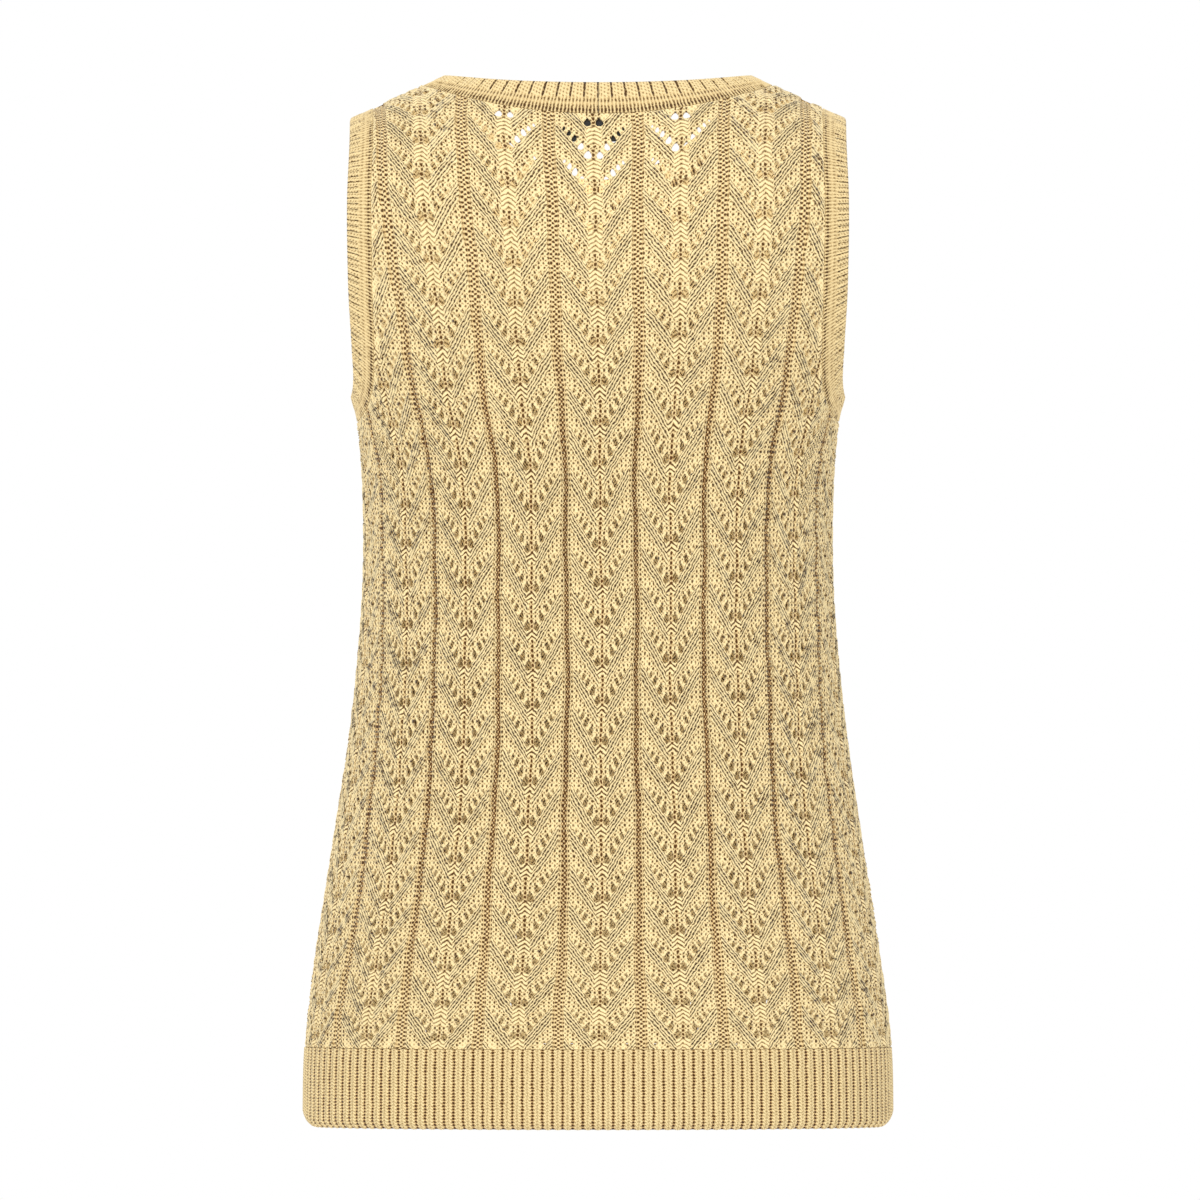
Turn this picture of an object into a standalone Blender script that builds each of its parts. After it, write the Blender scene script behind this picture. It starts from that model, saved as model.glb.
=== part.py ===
"""Sleeveless lace pullover, filled out as it is worn, with open neck, armholes and hem.

Front and back panels of leaf lace, a ribbed hem in two halves, a neckband, two armhole
bands and a small blank label inside the back neck.  Every piece is a closed cloth wall.

Frame: metres, +Z up, the garment's front faces -Y and the wearer's left is +X.  The
origin lies between the shoulders, at the height where the shoulders carry the cloth.
Sizes below are millimetres until a mesh is made.
"""

import math

import bmesh
import bpy
import numpy as np
from mathutils import Vector
from mathutils.geometry import delaunay_2d_cdt

MM = 0.001

# Cloth
WALL = 1.8
SEAM_GAP = 0.3
BACK = 1.0
FRONT = -1.0

# Heights
HEM_BOTTOM = -615.6
HEM_TOP = -568.0
UNDERARM_SEAM = -193.0
UNDERARM_EDGE = -177.5
CHEST_LINE = -120.0

# Horizontal sections of the figure that fills the cloth
BODY_COLUMNS = ("height", "half_width", "back_depth", "front_depth")
BODY = (
    (-616.0, 176.8, 108.4, 112.0),
    (-568.0, 175.6, 107.6, 111.0),
    (-516.0, 169.4, 104.2, 107.0),
    (-480.0, 163.8, 101.4, 104.0),
    (-432.0, 156.3, 97.0, 100.0),
    (-384.0, 149.1, 92.8, 97.0),
    (-336.0, 143.7, 89.0, 97.0),
    (-288.0, 140.4, 86.8, 105.0),
    (-252.0, 140.1, 86.6, 115.0),
    (-216.0, 141.6, 87.8, 118.0),
    (-193.0, 144.2, 89.4, 115.0),
    (-177.0, 148.2, 91.0, 111.0),
    (-150.0, 158.5, 94.0, 104.0),
    (-120.0, 167.5, 96.4, 97.0),
    (-90.0, 173.0, 96.8, 90.0),
    (-60.0, 176.0, 95.0, 84.0),
    (-20.0, 176.0, 92.0, 79.0),
    (50.0, 176.0, 88.0, 76.0),
)

# Shoulder line: its height falls away from the neck, and the cloth rounds over it
SHOULDER_PEAK = 58.6
SHOULDER_SLOPE = 0.4655
SHOULDER_SOFTNESS = 12.0
ROUNDING_SHOULDER = 60.0
ROUNDING_NECK = 90.0
ROUNDING_REACH = 70.0

# Neckline: half width at the shoulder line, then the drop at centre back and front
NECK_EDGE = {"half_width": 91.0, BACK: 5.4, FRONT: 62.0}
NECK_SEAM = {"half_width": 104.5, BACK: 17.7, FRONT: 73.9}

# Armhole: angle round the section at the shoulder, its growth, and the lowest point
ARM_EDGE = {"angle": math.radians(57.5), "power": 3.5, "bottom": UNDERARM_EDGE}
ARM_SEAM = {"angle": math.radians(50.0), "power": 4.26, "bottom": UNDERARM_SEAM}

# Lace columns: their width along the cloth, and how far the middle one leans sideways
LACE_COLUMNS = ("height", "column_width", "lean")
LACE = (
    (-616.0, 50.0, -1.0),
    (-568.0, 49.6, -1.2),
    (-480.0, 45.4, -1.8),
    (-384.0, 42.2, -2.2),
    (-288.0, 41.6, -2.0),
    (-216.0, 42.8, -1.2),
    (-180.0, 46.2, -0.6),
    (-120.0, 49.4, 0.4),
    (-50.0, 52.2, 2.4),
    (50.0, 53.0, 4.0),
)
COLUMNS = range(-4, 5)
GUTTERS = range(-4, 4)
GUTTER_PLACES = (0.425, 0.5, 0.575)
LEAF_PLACES = (-0.2, 0.2)
RELIEF_PLACE = (0.0, 0.2, 0.425, 0.5)
RELIEF = (0.1, 0.55, 0.3, -0.6)

# Height of the foot of each leaf of the middle column, by its number
REPEATS = (
    (0.0, -581.8),
    (1.0, -562.2),
    (4.0, -501.0),
    (5.0, -479.6),
    (10.0, -363.2),
    (15.0, -244.4),
    (18.0, -172.5),
    (21.0, -102.6),
    (25.0, -11.1),
    (28.0, 58.0),
)
FRONT_SHIFT = 0.5

# Eyelets cut through the centre columns: offsets from the column's middle and the leaf's foot
EYELET_COLUMNS = (-1, 0, 1)
EYELET_OFFSET = 3.2
EYELET_RISE = 2.9
EYELET_HALF_WIDTH = 1.6
EYELET_HALF_HEIGHT = 2.5
EYELET_LEAN = 0.35

# Ribs: pitch and height, and the share of the pitch taken by the furrow
HEM_RIBS = 75
NECK_RIBS = 92
ARM_RIBS = 52
RIB_HEIGHT = 0.9
BAND_RIB_HEIGHT = 0.7
RIB_PLACES = (0.0, 0.28, 0.72)
BAND_RIB_SHARE = 0.5
HEM_CURL = 3.0
HEM_CURL_HEIGHT = 5.0

# Label inside the back neck
LABEL_HALF_WIDTH = 28.0
LABEL_TOP = -11.5
LABEL_BOTTOM = -25.0
LABEL_THICKNESS = 0.8
LABEL_GAP = 0.6
LABEL_STEPS = 12

# Colours and finish
YARN = (0.69, 0.51, 0.24, 1.0)
LABEL_BLACK = (0.02, 0.02, 0.02, 1.0)
YARN_ROUGHNESS = 0.8

# Numbers of points along the edges of the pieces
SIDE_POINTS = 17
ARM_POINTS = 27
NECK_POINTS = 20
HEM_POINTS = 25
HEM_INNER_POINTS = 37
NECK_INNER_POINTS = 76
ARM_INNER_POINTS = 52

# Spacing of the points of a panel: the rounded part over the shoulders needs more
TOP_ROW = 40.0
OUTER_STEP = 26.0
OUTER_SHOULDER_STEP = 13.0
INNER_STEP = 46.0
INNER_SHOULDER_STEP = 14.0
INNER_COLUMN_STEP = 32.0
INNER_COLUMNS = range(-6, 7)
EDGE_MARGIN = 3.2
HOLE_MARGIN = 1.2
GAUSS_NODES, GAUSS_WEIGHTS = np.polynomial.legendre.leggauss(8)


def clear_scene():
    for item in list(bpy.data.objects):
        bpy.data.objects.remove(item, do_unlink=True)


def column(table, names, name):
    return np.array([row[names.index(name)] for row in table])


def smooth_through(table, names, name):
    """Return a function that runs smoothly through one column of a table, by height."""
    heights = column(table, names, "height")
    values = column(table, names, name)
    slopes = np.gradient(values, heights)

    def value(height):
        height = np.clip(height, heights[0], heights[-1])
        low = np.clip(np.searchsorted(heights, height) - 1, 0, len(heights) - 2)
        step = heights[low + 1] - heights[low]
        f = (height - heights[low]) / step
        start = (1 + 2 * f) * (1 - f) ** 2 * values[low] + f * (1 - f) ** 2 * step * slopes[low]
        end = f**2 * (3 - 2 * f) * values[low + 1] - f**2 * (1 - f) * step * slopes[low + 1]
        return start + end

    return value


half_width = smooth_through(BODY, BODY_COLUMNS, "half_width")
back_depth = smooth_through(BODY, BODY_COLUMNS, "back_depth")
front_depth = smooth_through(BODY, BODY_COLUMNS, "front_depth")
column_width = smooth_through(LACE, LACE_COLUMNS, "column_width")
column_lean = smooth_through(LACE, LACE_COLUMNS, "lean")


def depth(side, z):
    return back_depth(z) if side > 0 else front_depth(z)


def shoulder_height(x):
    return SHOULDER_PEAK - np.sqrt(SHOULDER_SOFTNESS**2 + (SHOULDER_SLOPE * x) ** 2)


def rounding(x):
    """Radius with which the cloth turns over the shoulder, larger towards the neck."""
    return ROUNDING_SHOULDER + ROUNDING_NECK * np.exp(-((x / ROUNDING_REACH) ** 2))


def run_down(x, z):
    """Length over the cloth from the shoulder line down to height z."""
    radius = rounding(x)
    drop = shoulder_height(x) - z
    turned = radius * np.arccos(np.clip(1 - drop / radius, 0.0, 1.0))
    return turned + np.maximum(drop - radius, 0.0)


def drop_after(x, run):
    """Fall in height after a length over the cloth from the shoulder line."""
    radius = rounding(x)
    turned = np.minimum(run / radius, math.pi / 2)
    return radius * (1 - np.cos(turned)) + np.maximum(run - radius * math.pi / 2, 0.0)


def turned_share(x, run):
    return np.sin(np.minimum(run / rounding(x), math.pi / 2))


def arc_length(angle, z, side):
    """Length round the section from its middle to an angle."""
    wide = half_width(z)
    deep = depth(side, z)
    total = 0.0
    for node, weight in zip(GAUSS_NODES, GAUSS_WEIGHTS):
        at = angle * (node + 1) / 2
        total = total + weight * np.hypot(wide * np.cos(at), deep * np.sin(at))
    return total * angle / 2


def angle_at(arc, z, side):
    """Angle round the section at a length from its middle."""
    wide = half_width(z)
    deep = depth(side, z)
    angle = arc / wide
    for _ in range(6):
        speed = np.hypot(wide * np.cos(angle), deep * np.sin(angle))
        angle = angle - (arc_length(angle, z, side) - arc) / speed
    return angle


def cloth_height(x, z):
    """Height measured over the cloth, equal to z below the chest line."""
    over = CHEST_LINE + run_down(x, np.full_like(x, CHEST_LINE)) - run_down(x, z)
    return np.where(z < CHEST_LINE, z, over)


def on_cloth(side, arc, rise):
    """Points of the figure at a length round the section and a height over the cloth."""
    arc = np.asarray(arc, dtype=float)
    rise = np.asarray(rise, dtype=float)
    z = rise.copy()
    for _ in range(8):
        angle = angle_at(arc, z, side)
        x = half_width(z) * np.sin(angle)
        run = run_down(x, np.full_like(x, CHEST_LINE)) - (rise - CHEST_LINE)
        z = np.where(rise < CHEST_LINE, rise, shoulder_height(x) - drop_after(x, run))
    y = side * depth(side, z) * np.cos(angle) * turned_share(x, run)
    return np.stack([x, y, z], axis=-1)


def cloth_normals(side, arc, rise):
    """Outward normals of the figure."""
    arc = np.asarray(arc, dtype=float)
    rise = np.asarray(rise, dtype=float)
    step = 0.5
    across = on_cloth(side, arc + step, rise) - on_cloth(side, arc - step, rise)
    up = on_cloth(side, arc, rise + step) - on_cloth(side, arc, rise - step)
    normal = -side * np.cross(across, up)
    return normal / np.linalg.norm(normal, axis=-1, keepdims=True)


def to_cloth(side, angle, z):
    """Turn an angle round the section and a height into lengths over the cloth."""
    x = half_width(z) * np.sin(angle)
    return arc_length(angle, z, side), cloth_height(x, z)


def armhole(side, edge, turn):
    """Armhole line from the shoulder (turn 0) to the underarm (turn pi), wearer's left."""
    angle = edge["angle"] + (math.pi / 2 - edge["angle"]) * (turn / math.pi) ** edge["power"]
    shoulder_x = half_width(0.0) * math.sin(edge["angle"])
    top = shoulder_height(shoulder_x)
    z = edge["bottom"] + (top - edge["bottom"]) * (1 + np.cos(turn)) / 2
    return to_cloth(side, angle, z)


def neckline(side, edge, turn):
    """Neck line from the middle (turn 0) to the shoulder (turn pi / 2), wearer's left."""
    x = edge["half_width"] * np.sin(turn)
    z = shoulder_height(edge["half_width"]) - edge[side] * np.cos(turn) ** 2
    return to_cloth(side, np.arcsin(x / half_width(z)), z)


def side_seam(side, rise):
    """Length round the section from the middle to the side seam."""
    return arc_length(np.full_like(rise, math.pi / 2), rise, side)


def across_body(source, target, arc, rise):
    """Length round one side of a section that lies at the same x as a length round the other."""
    if source == target:
        return arc
    level = np.minimum(rise, CHEST_LINE)
    return arc_length(angle_at(arc, level, source), level, target)


def column_arc(side, place, rise):
    """Length round the section at a place counted in columns from the middle one."""
    arc = place * column_width(rise) + column_lean(rise)
    return across_body(BACK, side, arc, rise)


def lace_relief(side, arc, rise):
    """Height of the lace over the plain wall: leaves stand up between the gutters."""
    place = (across_body(side, BACK, arc, rise) - column_lean(rise)) / column_width(rise)
    off = np.abs(place - np.round(place))
    return np.interp(off, RELIEF_PLACE, RELIEF)


def new_object(name, vertices, faces, material):
    mesh = bpy.data.meshes.new(name)
    mesh.from_pydata([Vector(v) * MM for v in vertices], [], faces)
    shape = bmesh.new()
    shape.from_mesh(mesh)
    bmesh.ops.recalc_face_normals(shape, faces=shape.faces)
    bmesh.ops.triangulate(shape, faces=shape.faces)
    shape.to_mesh(mesh)
    shape.free()
    mesh.materials.append(material)
    mesh.shade_smooth()
    mesh.set_sharp_from_angle(angle=math.radians(40))
    item = bpy.data.objects.new(name, mesh)
    bpy.context.scene.collection.objects.link(item)
    return item


def new_material(name, colour, roughness):
    material = bpy.data.materials.new(name)
    material.use_nodes = True
    shader = material.node_tree.nodes["Principled BSDF"]
    shader.inputs["Base Color"].default_value = colour
    shader.inputs["Roughness"].default_value = roughness
    return material


def inset_loop(loop, distance):
    """Move a counter-clockwise outline inwards by a distance."""
    before = np.roll(loop, 1, axis=0)
    after = np.roll(loop, -1, axis=0)
    first = (loop - before) / np.linalg.norm(loop - before, axis=1, keepdims=True)
    second = (after - loop) / np.linalg.norm(after - loop, axis=1, keepdims=True)
    left_first = np.stack([-first[:, 1], first[:, 0]], axis=1)
    left_second = np.stack([-second[:, 1], second[:, 0]], axis=1)
    corner = left_first + left_second
    corner = corner / np.linalg.norm(corner, axis=1, keepdims=True)
    reach = distance / np.maximum((corner * left_first).sum(axis=1), 0.4)
    return loop + corner * reach[:, None]


def inside(points, loop):
    """Which points lie inside a closed outline."""
    hit = np.zeros(len(points), dtype=bool)
    for (ax, ay), (bx, by) in zip(loop, np.roll(loop, -1, axis=0)):
        spans = (points[:, 1] < ay) != (points[:, 1] < by)
        height = by - ay if by != ay else 1.0
        crossing = ax + (points[:, 1] - ay) / height * (bx - ax)
        hit ^= spans & (points[:, 0] < crossing)
    return hit


def clear_of(points, loop, margin):
    """Which points are further than a margin from every side of an outline."""
    free = np.ones(len(points), dtype=bool)
    for start, end in zip(loop, np.roll(loop, -1, axis=0)):
        along = end - start
        share = np.clip(((points - start) @ along) / (along @ along), 0.0, 1.0)
        nearest = start + share[:, None] * along
        free &= np.linalg.norm(points - nearest, axis=1) > margin
    return free


def panel_outline(side):
    """Outline of a panel over the cloth, counter-clockwise, before its seam gap."""
    side_rise = np.linspace(HEM_TOP, UNDERARM_SEAM, SIDE_POINTS)
    side_line = np.stack([side_seam(side, side_rise), side_rise], axis=1)
    turns = np.linspace(math.pi, 0.0, ARM_POINTS)
    arm_line = np.stack(armhole(side, ARM_SEAM, turns), axis=1)
    turns = np.linspace(math.pi / 2, 0.0, NECK_POINTS)
    neck_line = np.stack(neckline(side, NECK_SEAM, turns), axis=1)
    right_half = np.concatenate([side_line, arm_line[1:], neck_line])
    left_half = right_half[-2::-1] * (-1.0, 1.0)
    hem_arcs = np.linspace(-side_line[0, 0], side_line[0, 0], HEM_POINTS)[1:-1]
    hem_line = np.stack([hem_arcs, np.full_like(hem_arcs, HEM_TOP)], axis=1)
    return np.concatenate([right_half, left_half, hem_line])


def eyelet_rows(side):
    """Heights of the eyelets of the middle column."""
    numbers, feet = np.array(REPEATS).T
    shift = 0.0 if side > 0 else FRONT_SHIFT
    return np.interp(np.arange(numbers[0], numbers[-1]) + shift, numbers, feet) + EYELET_RISE


def eyelets(side, outline):
    """Four-sided eyelets in pairs at the foot of each leaf of the centre columns."""
    corners = np.array([(-1.0, -1.0), (1.0, -1.0), (1.0, 1.0), (-1.0, 1.0)])
    holes = []
    for number in EYELET_COLUMNS:
        for rise in eyelet_rows(side):
            middle = float(column_arc(side, number, np.array([rise]))[0])
            for hand in (-1, 1):
                shape = corners * (EYELET_HALF_WIDTH, EYELET_HALF_HEIGHT)
                shape[:, 0] += hand * (EYELET_OFFSET + EYELET_LEAN * shape[:, 1])
                hole = shape + (middle, rise)
                whole = inside(hole, outline).all()
                if whole and clear_of(hole, outline, EDGE_MARGIN).all():
                    holes.append(hole)
    return holes


def panel_rows(step, shoulder_step):
    low = np.arange(HEM_TOP + step / 2, CHEST_LINE, step)
    return np.concatenate([low, np.arange(CHEST_LINE, TOP_ROW, shoulder_step)])


def panel_points(side):
    """Inner points of the lace: three across each gutter and two across each leaf."""
    rows = panel_rows(OUTER_STEP, OUTER_SHOULDER_STEP)
    places = [number + place for number in GUTTERS for place in GUTTER_PLACES]
    places += [number + place for number in COLUMNS for place in LEAF_PLACES]
    lines = [np.stack([column_arc(side, place, rows), rows], axis=1) for place in places]
    return np.concatenate(lines)


def flat_mesh(outline, holes, points):
    """Triangles of an outline with holes, in the order outline, holes, inner points."""
    loops = [outline] + holes
    kept = inside(points, outline) & clear_of(points, outline, EDGE_MARGIN)
    points = points[kept]
    for hole in holes:
        points = points[clear_of(points, hole, HOLE_MARGIN) & ~inside(points, hole)]
    flat = np.concatenate(loops + [points])
    edges = []
    owner = np.full(len(flat), -1)
    start = 0
    for number, loop in enumerate(loops):
        count = len(loop)
        edges += [(start + i, start + (i + 1) % count) for i in range(count)]
        owner[start : start + count] = number
        start += count
    result = delaunay_2d_cdt([Vector(p) for p in flat.tolist()], edges, [], 1, 1e-6)
    origin = [sources[0] for sources in result[3]]
    faces = []
    for face in result[2]:
        corners = [origin[i] for i in face]
        owners = {int(owner[i]) for i in corners}
        if len(owners) > 1 or owners == {-1} or owners == {0}:
            faces.append(corners)
    return flat, faces, loops


def make_panel(name, side, material):
    """A lace panel: relief and eyelets outside, a plain wall inside."""
    outline = inset_loop(panel_outline(side), SEAM_GAP / 2)
    holes = eyelets(side, outline)
    outer, outer_faces, loops = flat_mesh(outline, holes, panel_points(side))
    arcs = np.array(INNER_COLUMNS) * INNER_COLUMN_STEP
    rows = panel_rows(INNER_STEP, INNER_SHOULDER_STEP)
    plain = np.array([(arc, rise) for arc in arcs for rise in rows])
    inner, inner_faces, _ = flat_mesh(outline, holes, plain)
    arcs, rises = outer.T
    height = lace_relief(side, arcs, rises)
    rim = len(outline)
    height[:rim] = 0.0
    outside = on_cloth(side, arcs, rises) + cloth_normals(side, arcs, rises) * height[:, None]
    arcs, rises = inner.T
    inside_points = on_cloth(side, arcs, rises) - cloth_normals(side, arcs, rises) * WALL
    shift = len(outside)
    faces = [list(face) for face in outer_faces]
    faces += [[shift + i for i in reversed(face)] for face in inner_faces]
    start = 0
    for loop in loops:
        count = len(loop)
        for i in range(count):
            a = start + i
            b = start + (i + 1) % count
            faces.append([a, b, b + shift, a + shift])
        start += count
    return new_object(name, np.concatenate([outside, inside_points]), faces, material)


def zip_lines(faces, first, second, first_places, second_places):
    """Fill the strip between two lines of points whose places run from 0 to 1."""
    i = 0
    j = 0
    while i < len(first) - 1 or j < len(second) - 1:
        ahead = i < len(first) - 1
        if ahead and j < len(second) - 1:
            ahead = first_places[i + 1] <= second_places[j + 1]
        if ahead:
            faces.append([first[i], first[i + 1], second[j]])
            i += 1
        else:
            faces.append([first[i], second[j + 1], second[j]])
            j += 1


class Wall:
    """Collects points and faces of a wall that is made of lines of points."""

    def __init__(self):
        self.points = []
        self.faces = []

    def line(self, points):
        start = len(self.points)
        self.points.extend(points.tolist())
        return list(range(start, start + len(points)))

    def strip(self, first, second, first_places, second_places):
        zip_lines(self.faces, first, second, first_places, second_places)


def rib_places(count):
    """Places of the points across a row of ribs, and which of them lie in a furrow."""
    places = np.array([(number + place) / count for number in range(count) for place in RIB_PLACES])
    furrow = np.array([place == 0.0 for number in range(count) for place in RIB_PLACES])
    return np.append(places, 1.0), np.append(furrow, True)


def make_hem(name, side, material):
    """Half of the hem: ribs outside, plain inside, the lower edge turned in a little."""
    places, furrow = rib_places(HEM_RIBS)
    plain = np.linspace(0.0, 1.0, HEM_INNER_POINTS)
    wall = Wall()
    levels = (HEM_TOP - SEAM_GAP / 2, HEM_BOTTOM + HEM_CURL_HEIGHT, HEM_BOTTOM)
    curls = (0.0, 0.0, HEM_CURL)

    def line(at, rise, out):
        rise = np.full_like(at, rise)
        reach = side_seam(side, rise) - SEAM_GAP / 2
        arc = (2 * at - 1) * reach
        out = np.broadcast_to(out, at.shape)
        return wall.line(on_cloth(side, arc, rise) + cloth_normals(side, arc, rise) * out[:, None])

    ribs = np.where(furrow, 0.0, RIB_HEIGHT)
    outer = [line(places, level, ribs - curl) for level, curl in zip(levels, curls)]
    inner = [line(plain, level, -WALL - curl) for level, curl in zip(levels, curls)]
    for upper, lower in zip(outer, outer[1:]):
        wall.strip(upper, lower, places, places)
    for upper, lower in zip(inner, inner[1:]):
        wall.strip(lower, upper, plain, plain)
    wall.strip(inner[0], outer[0], plain, places)
    wall.strip(outer[-1], inner[-1], places, plain)
    for end in (0, -1):
        rim = [row[end] for row in outer] + [row[end] for row in reversed(inner)]
        wall.faces.append(rim if end else rim[::-1])
    return new_object(name, wall.points, wall.faces, material)


def ring_points(curve, edge, places, hand):
    """Lengths over the cloth at places round a closed edge, with each point's side."""
    turns = places * 2 * math.pi
    if curve is armhole:
        side = np.where(turns <= math.pi, BACK, FRONT)
        turn = np.where(turns <= math.pi, turns, 2 * math.pi - turns)
        sign = np.full_like(turns, hand)
    else:
        side = np.where(np.cos(turns) >= 0, BACK, FRONT)
        turn = np.arcsin(np.clip(np.abs(np.sin(turns)), 0.0, 1.0))
        sign = np.where(np.sin(turns) >= 0, 1.0, -1.0)
    arc = np.zeros_like(turns)
    rise = np.zeros_like(turns)
    for value in (BACK, FRONT):
        here = side == value
        arc[here], rise[here] = curve(value, edge, turn[here])
    return arc * sign, rise, side


def ring_line(wall, curve, edges, share, places, out, hand):
    """A line round a band, at a share of its width from the free edge to the seam."""
    arc_a, rise_a, side = ring_points(curve, edges[0], places, hand)
    arc_b, rise_b, _ = ring_points(curve, edges[1], places, hand)
    length = np.hypot(arc_b - arc_a, rise_b - rise_a)
    share = share if share < 1.0 else 1.0 - SEAM_GAP / 2 / length
    arc = arc_a + (arc_b - arc_a) * share
    rise = rise_a + (rise_b - rise_a) * share
    out = np.broadcast_to(out, places.shape)
    points = np.zeros((len(places), 3))
    for value in (BACK, FRONT):
        here = side == value
        normal = cloth_normals(value, arc[here], rise[here])
        points[here] = on_cloth(value, arc[here], rise[here]) + normal * out[here][:, None]
    return wall.line(points)


def make_band(name, curve, edges, ribs, plain_count, hand, material):
    """A band round an opening: cross ribs by its free edge, plain by the seam."""
    wall = Wall()
    places, furrow = rib_places(ribs)
    places = places[:-1]
    furrow = furrow[:-1]
    plain = np.arange(plain_count) / plain_count
    height = np.where(furrow, 0.0, BAND_RIB_HEIGHT)
    rows = (
        ring_line(wall, curve, edges, 0.0, places, height, hand),
        ring_line(wall, curve, edges, BAND_RIB_SHARE, places, height, hand),
        ring_line(wall, curve, edges, 1.0, plain, 0.0, hand),
        ring_line(wall, curve, edges, 1.0, plain, -WALL, hand),
        ring_line(wall, curve, edges, 0.0, plain, -WALL, hand),
    )
    where = (places, places, plain, plain, plain)
    for number, row in enumerate(rows):
        after = (number + 1) % len(rows)
        first = row + row[:1]
        second = rows[after] + rows[after][:1]
        wall.strip(first, second, np.append(where[number], 1.0), np.append(where[after], 1.0))
    return new_object(name, wall.points, wall.faces, material)


def make_label(name, material):
    """A small blank label that lies inside the back panel."""
    wall = Wall()
    arcs = np.linspace(-LABEL_HALF_WIDTH, LABEL_HALF_WIDTH, LABEL_STEPS + 1)
    near = -WALL - LABEL_GAP
    corners = (
        (LABEL_TOP, near),
        (LABEL_BOTTOM, near),
        (LABEL_BOTTOM, near - LABEL_THICKNESS),
        (LABEL_TOP, near - LABEL_THICKNESS),
    )
    rows = []
    for z, out in corners:
        rise = cloth_height(arcs, np.full_like(arcs, z))
        points = on_cloth(BACK, arcs, rise) + cloth_normals(BACK, arcs, rise) * out
        rows.append(wall.line(points))
    places = np.linspace(0.0, 1.0, LABEL_STEPS + 1)
    for number, row in enumerate(rows):
        wall.strip(row, rows[(number + 1) % len(rows)], places, places)
    wall.faces.append([row[0] for row in rows])
    wall.faces.append([row[-1] for row in reversed(rows)])
    return new_object(name, wall.points, wall.faces, material)


def main():
    clear_scene()
    for name, side in (("back", BACK), ("front", FRONT)):
        panel_name = f"{name}_panel"
        make_panel(panel_name, side, new_material(panel_name, YARN, YARN_ROUGHNESS))
        hem_name = f"hem_rib_{name}"
        make_hem(hem_name, side, new_material(hem_name, YARN, YARN_ROUGHNESS))
    yarn = new_material("neckband", YARN, YARN_ROUGHNESS)
    edges = (NECK_EDGE, NECK_SEAM)
    make_band("neckband", neckline, edges, NECK_RIBS, NECK_INNER_POINTS, 1, yarn)
    for name, hand in (("armband_left", 1), ("armband_right", -1)):
        yarn = new_material(name, YARN, YARN_ROUGHNESS)
        make_band(name, armhole, (ARM_EDGE, ARM_SEAM), ARM_RIBS, ARM_INNER_POINTS, hand, yarn)
    make_label("neck_label", new_material("neck_label", LABEL_BLACK, YARN_ROUGHNESS))


main()
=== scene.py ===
"""Looks of a sleeveless lace pullover, filled out as it is worn, seen from behind.

The panels are thin shells of leaf lace with their eyelets cut through and their wales
raised.  The hem, the neckband and the armhole bands are ribbed walls.  Lengths are in
millimetres until a mesh is made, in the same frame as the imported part.
"""

import math
from itertools import product

import bpy
import numpy as np
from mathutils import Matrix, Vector
from mathutils.geometry import delaunay_2d_cdt
from mathutils.kdtree import KDTree


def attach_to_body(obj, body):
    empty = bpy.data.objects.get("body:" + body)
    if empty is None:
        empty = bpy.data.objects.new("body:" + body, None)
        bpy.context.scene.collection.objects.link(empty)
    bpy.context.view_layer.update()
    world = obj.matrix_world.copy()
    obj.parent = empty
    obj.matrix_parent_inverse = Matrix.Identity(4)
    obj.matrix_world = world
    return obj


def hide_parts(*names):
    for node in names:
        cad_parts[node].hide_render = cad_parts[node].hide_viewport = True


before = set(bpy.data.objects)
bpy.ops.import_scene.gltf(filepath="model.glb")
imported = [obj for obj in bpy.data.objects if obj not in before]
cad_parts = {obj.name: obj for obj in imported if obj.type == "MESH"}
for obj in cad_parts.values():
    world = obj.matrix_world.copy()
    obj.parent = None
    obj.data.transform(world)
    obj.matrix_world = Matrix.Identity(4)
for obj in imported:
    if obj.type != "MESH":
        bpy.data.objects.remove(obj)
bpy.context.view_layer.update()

MM = 0.001
BODY_NAME = "root"
SEED = 7

# Cloth
WALL = 1.8
SEAM_GAP = 0.3
BACK = 1.0
FRONT = -1.0

# Heights
HEM_BOTTOM = -615.6
HEM_TOP = -568.0
UNDERARM_SEAM = -193.0
UNDERARM_EDGE = -177.5
CHEST_LINE = -120.0

# Horizontal sections of the figure that fills the cloth
BODY_COLUMNS = ("height", "half_width", "back_depth", "front_depth")
BODY = (
    (-616.0, 176.8, 108.4, 112.0),
    (-568.0, 175.6, 107.6, 111.0),
    (-516.0, 169.4, 104.2, 107.0),
    (-480.0, 163.8, 101.4, 104.0),
    (-432.0, 156.3, 97.0, 100.0),
    (-384.0, 149.1, 92.8, 97.0),
    (-336.0, 143.7, 89.0, 97.0),
    (-288.0, 140.4, 86.8, 105.0),
    (-252.0, 140.1, 86.6, 115.0),
    (-216.0, 141.6, 87.8, 118.0),
    (-193.0, 144.2, 89.4, 115.0),
    (-177.0, 148.2, 91.0, 111.0),
    (-150.0, 158.5, 94.0, 104.0),
    (-120.0, 167.5, 96.4, 97.0),
    (-90.0, 173.0, 96.8, 90.0),
    (-60.0, 176.0, 95.0, 84.0),
    (-20.0, 176.0, 92.0, 79.0),
    (50.0, 176.0, 88.0, 76.0),
)

# Shoulder line and the rounding of the cloth over it
SHOULDER_PEAK = 58.6
SHOULDER_SLOPE = 0.4655
SHOULDER_SOFTNESS = 12.0
ROUNDING_SHOULDER = 60.0
ROUNDING_NECK = 90.0
ROUNDING_REACH = 70.0

# Neckline: half width at the shoulder line, then the drop at centre back and front
NECK_EDGE = {"half_width": 91.0, BACK: 5.4, FRONT: 62.0}
NECK_SEAM = {"half_width": 104.5, BACK: 17.7, FRONT: 73.9}

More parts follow.
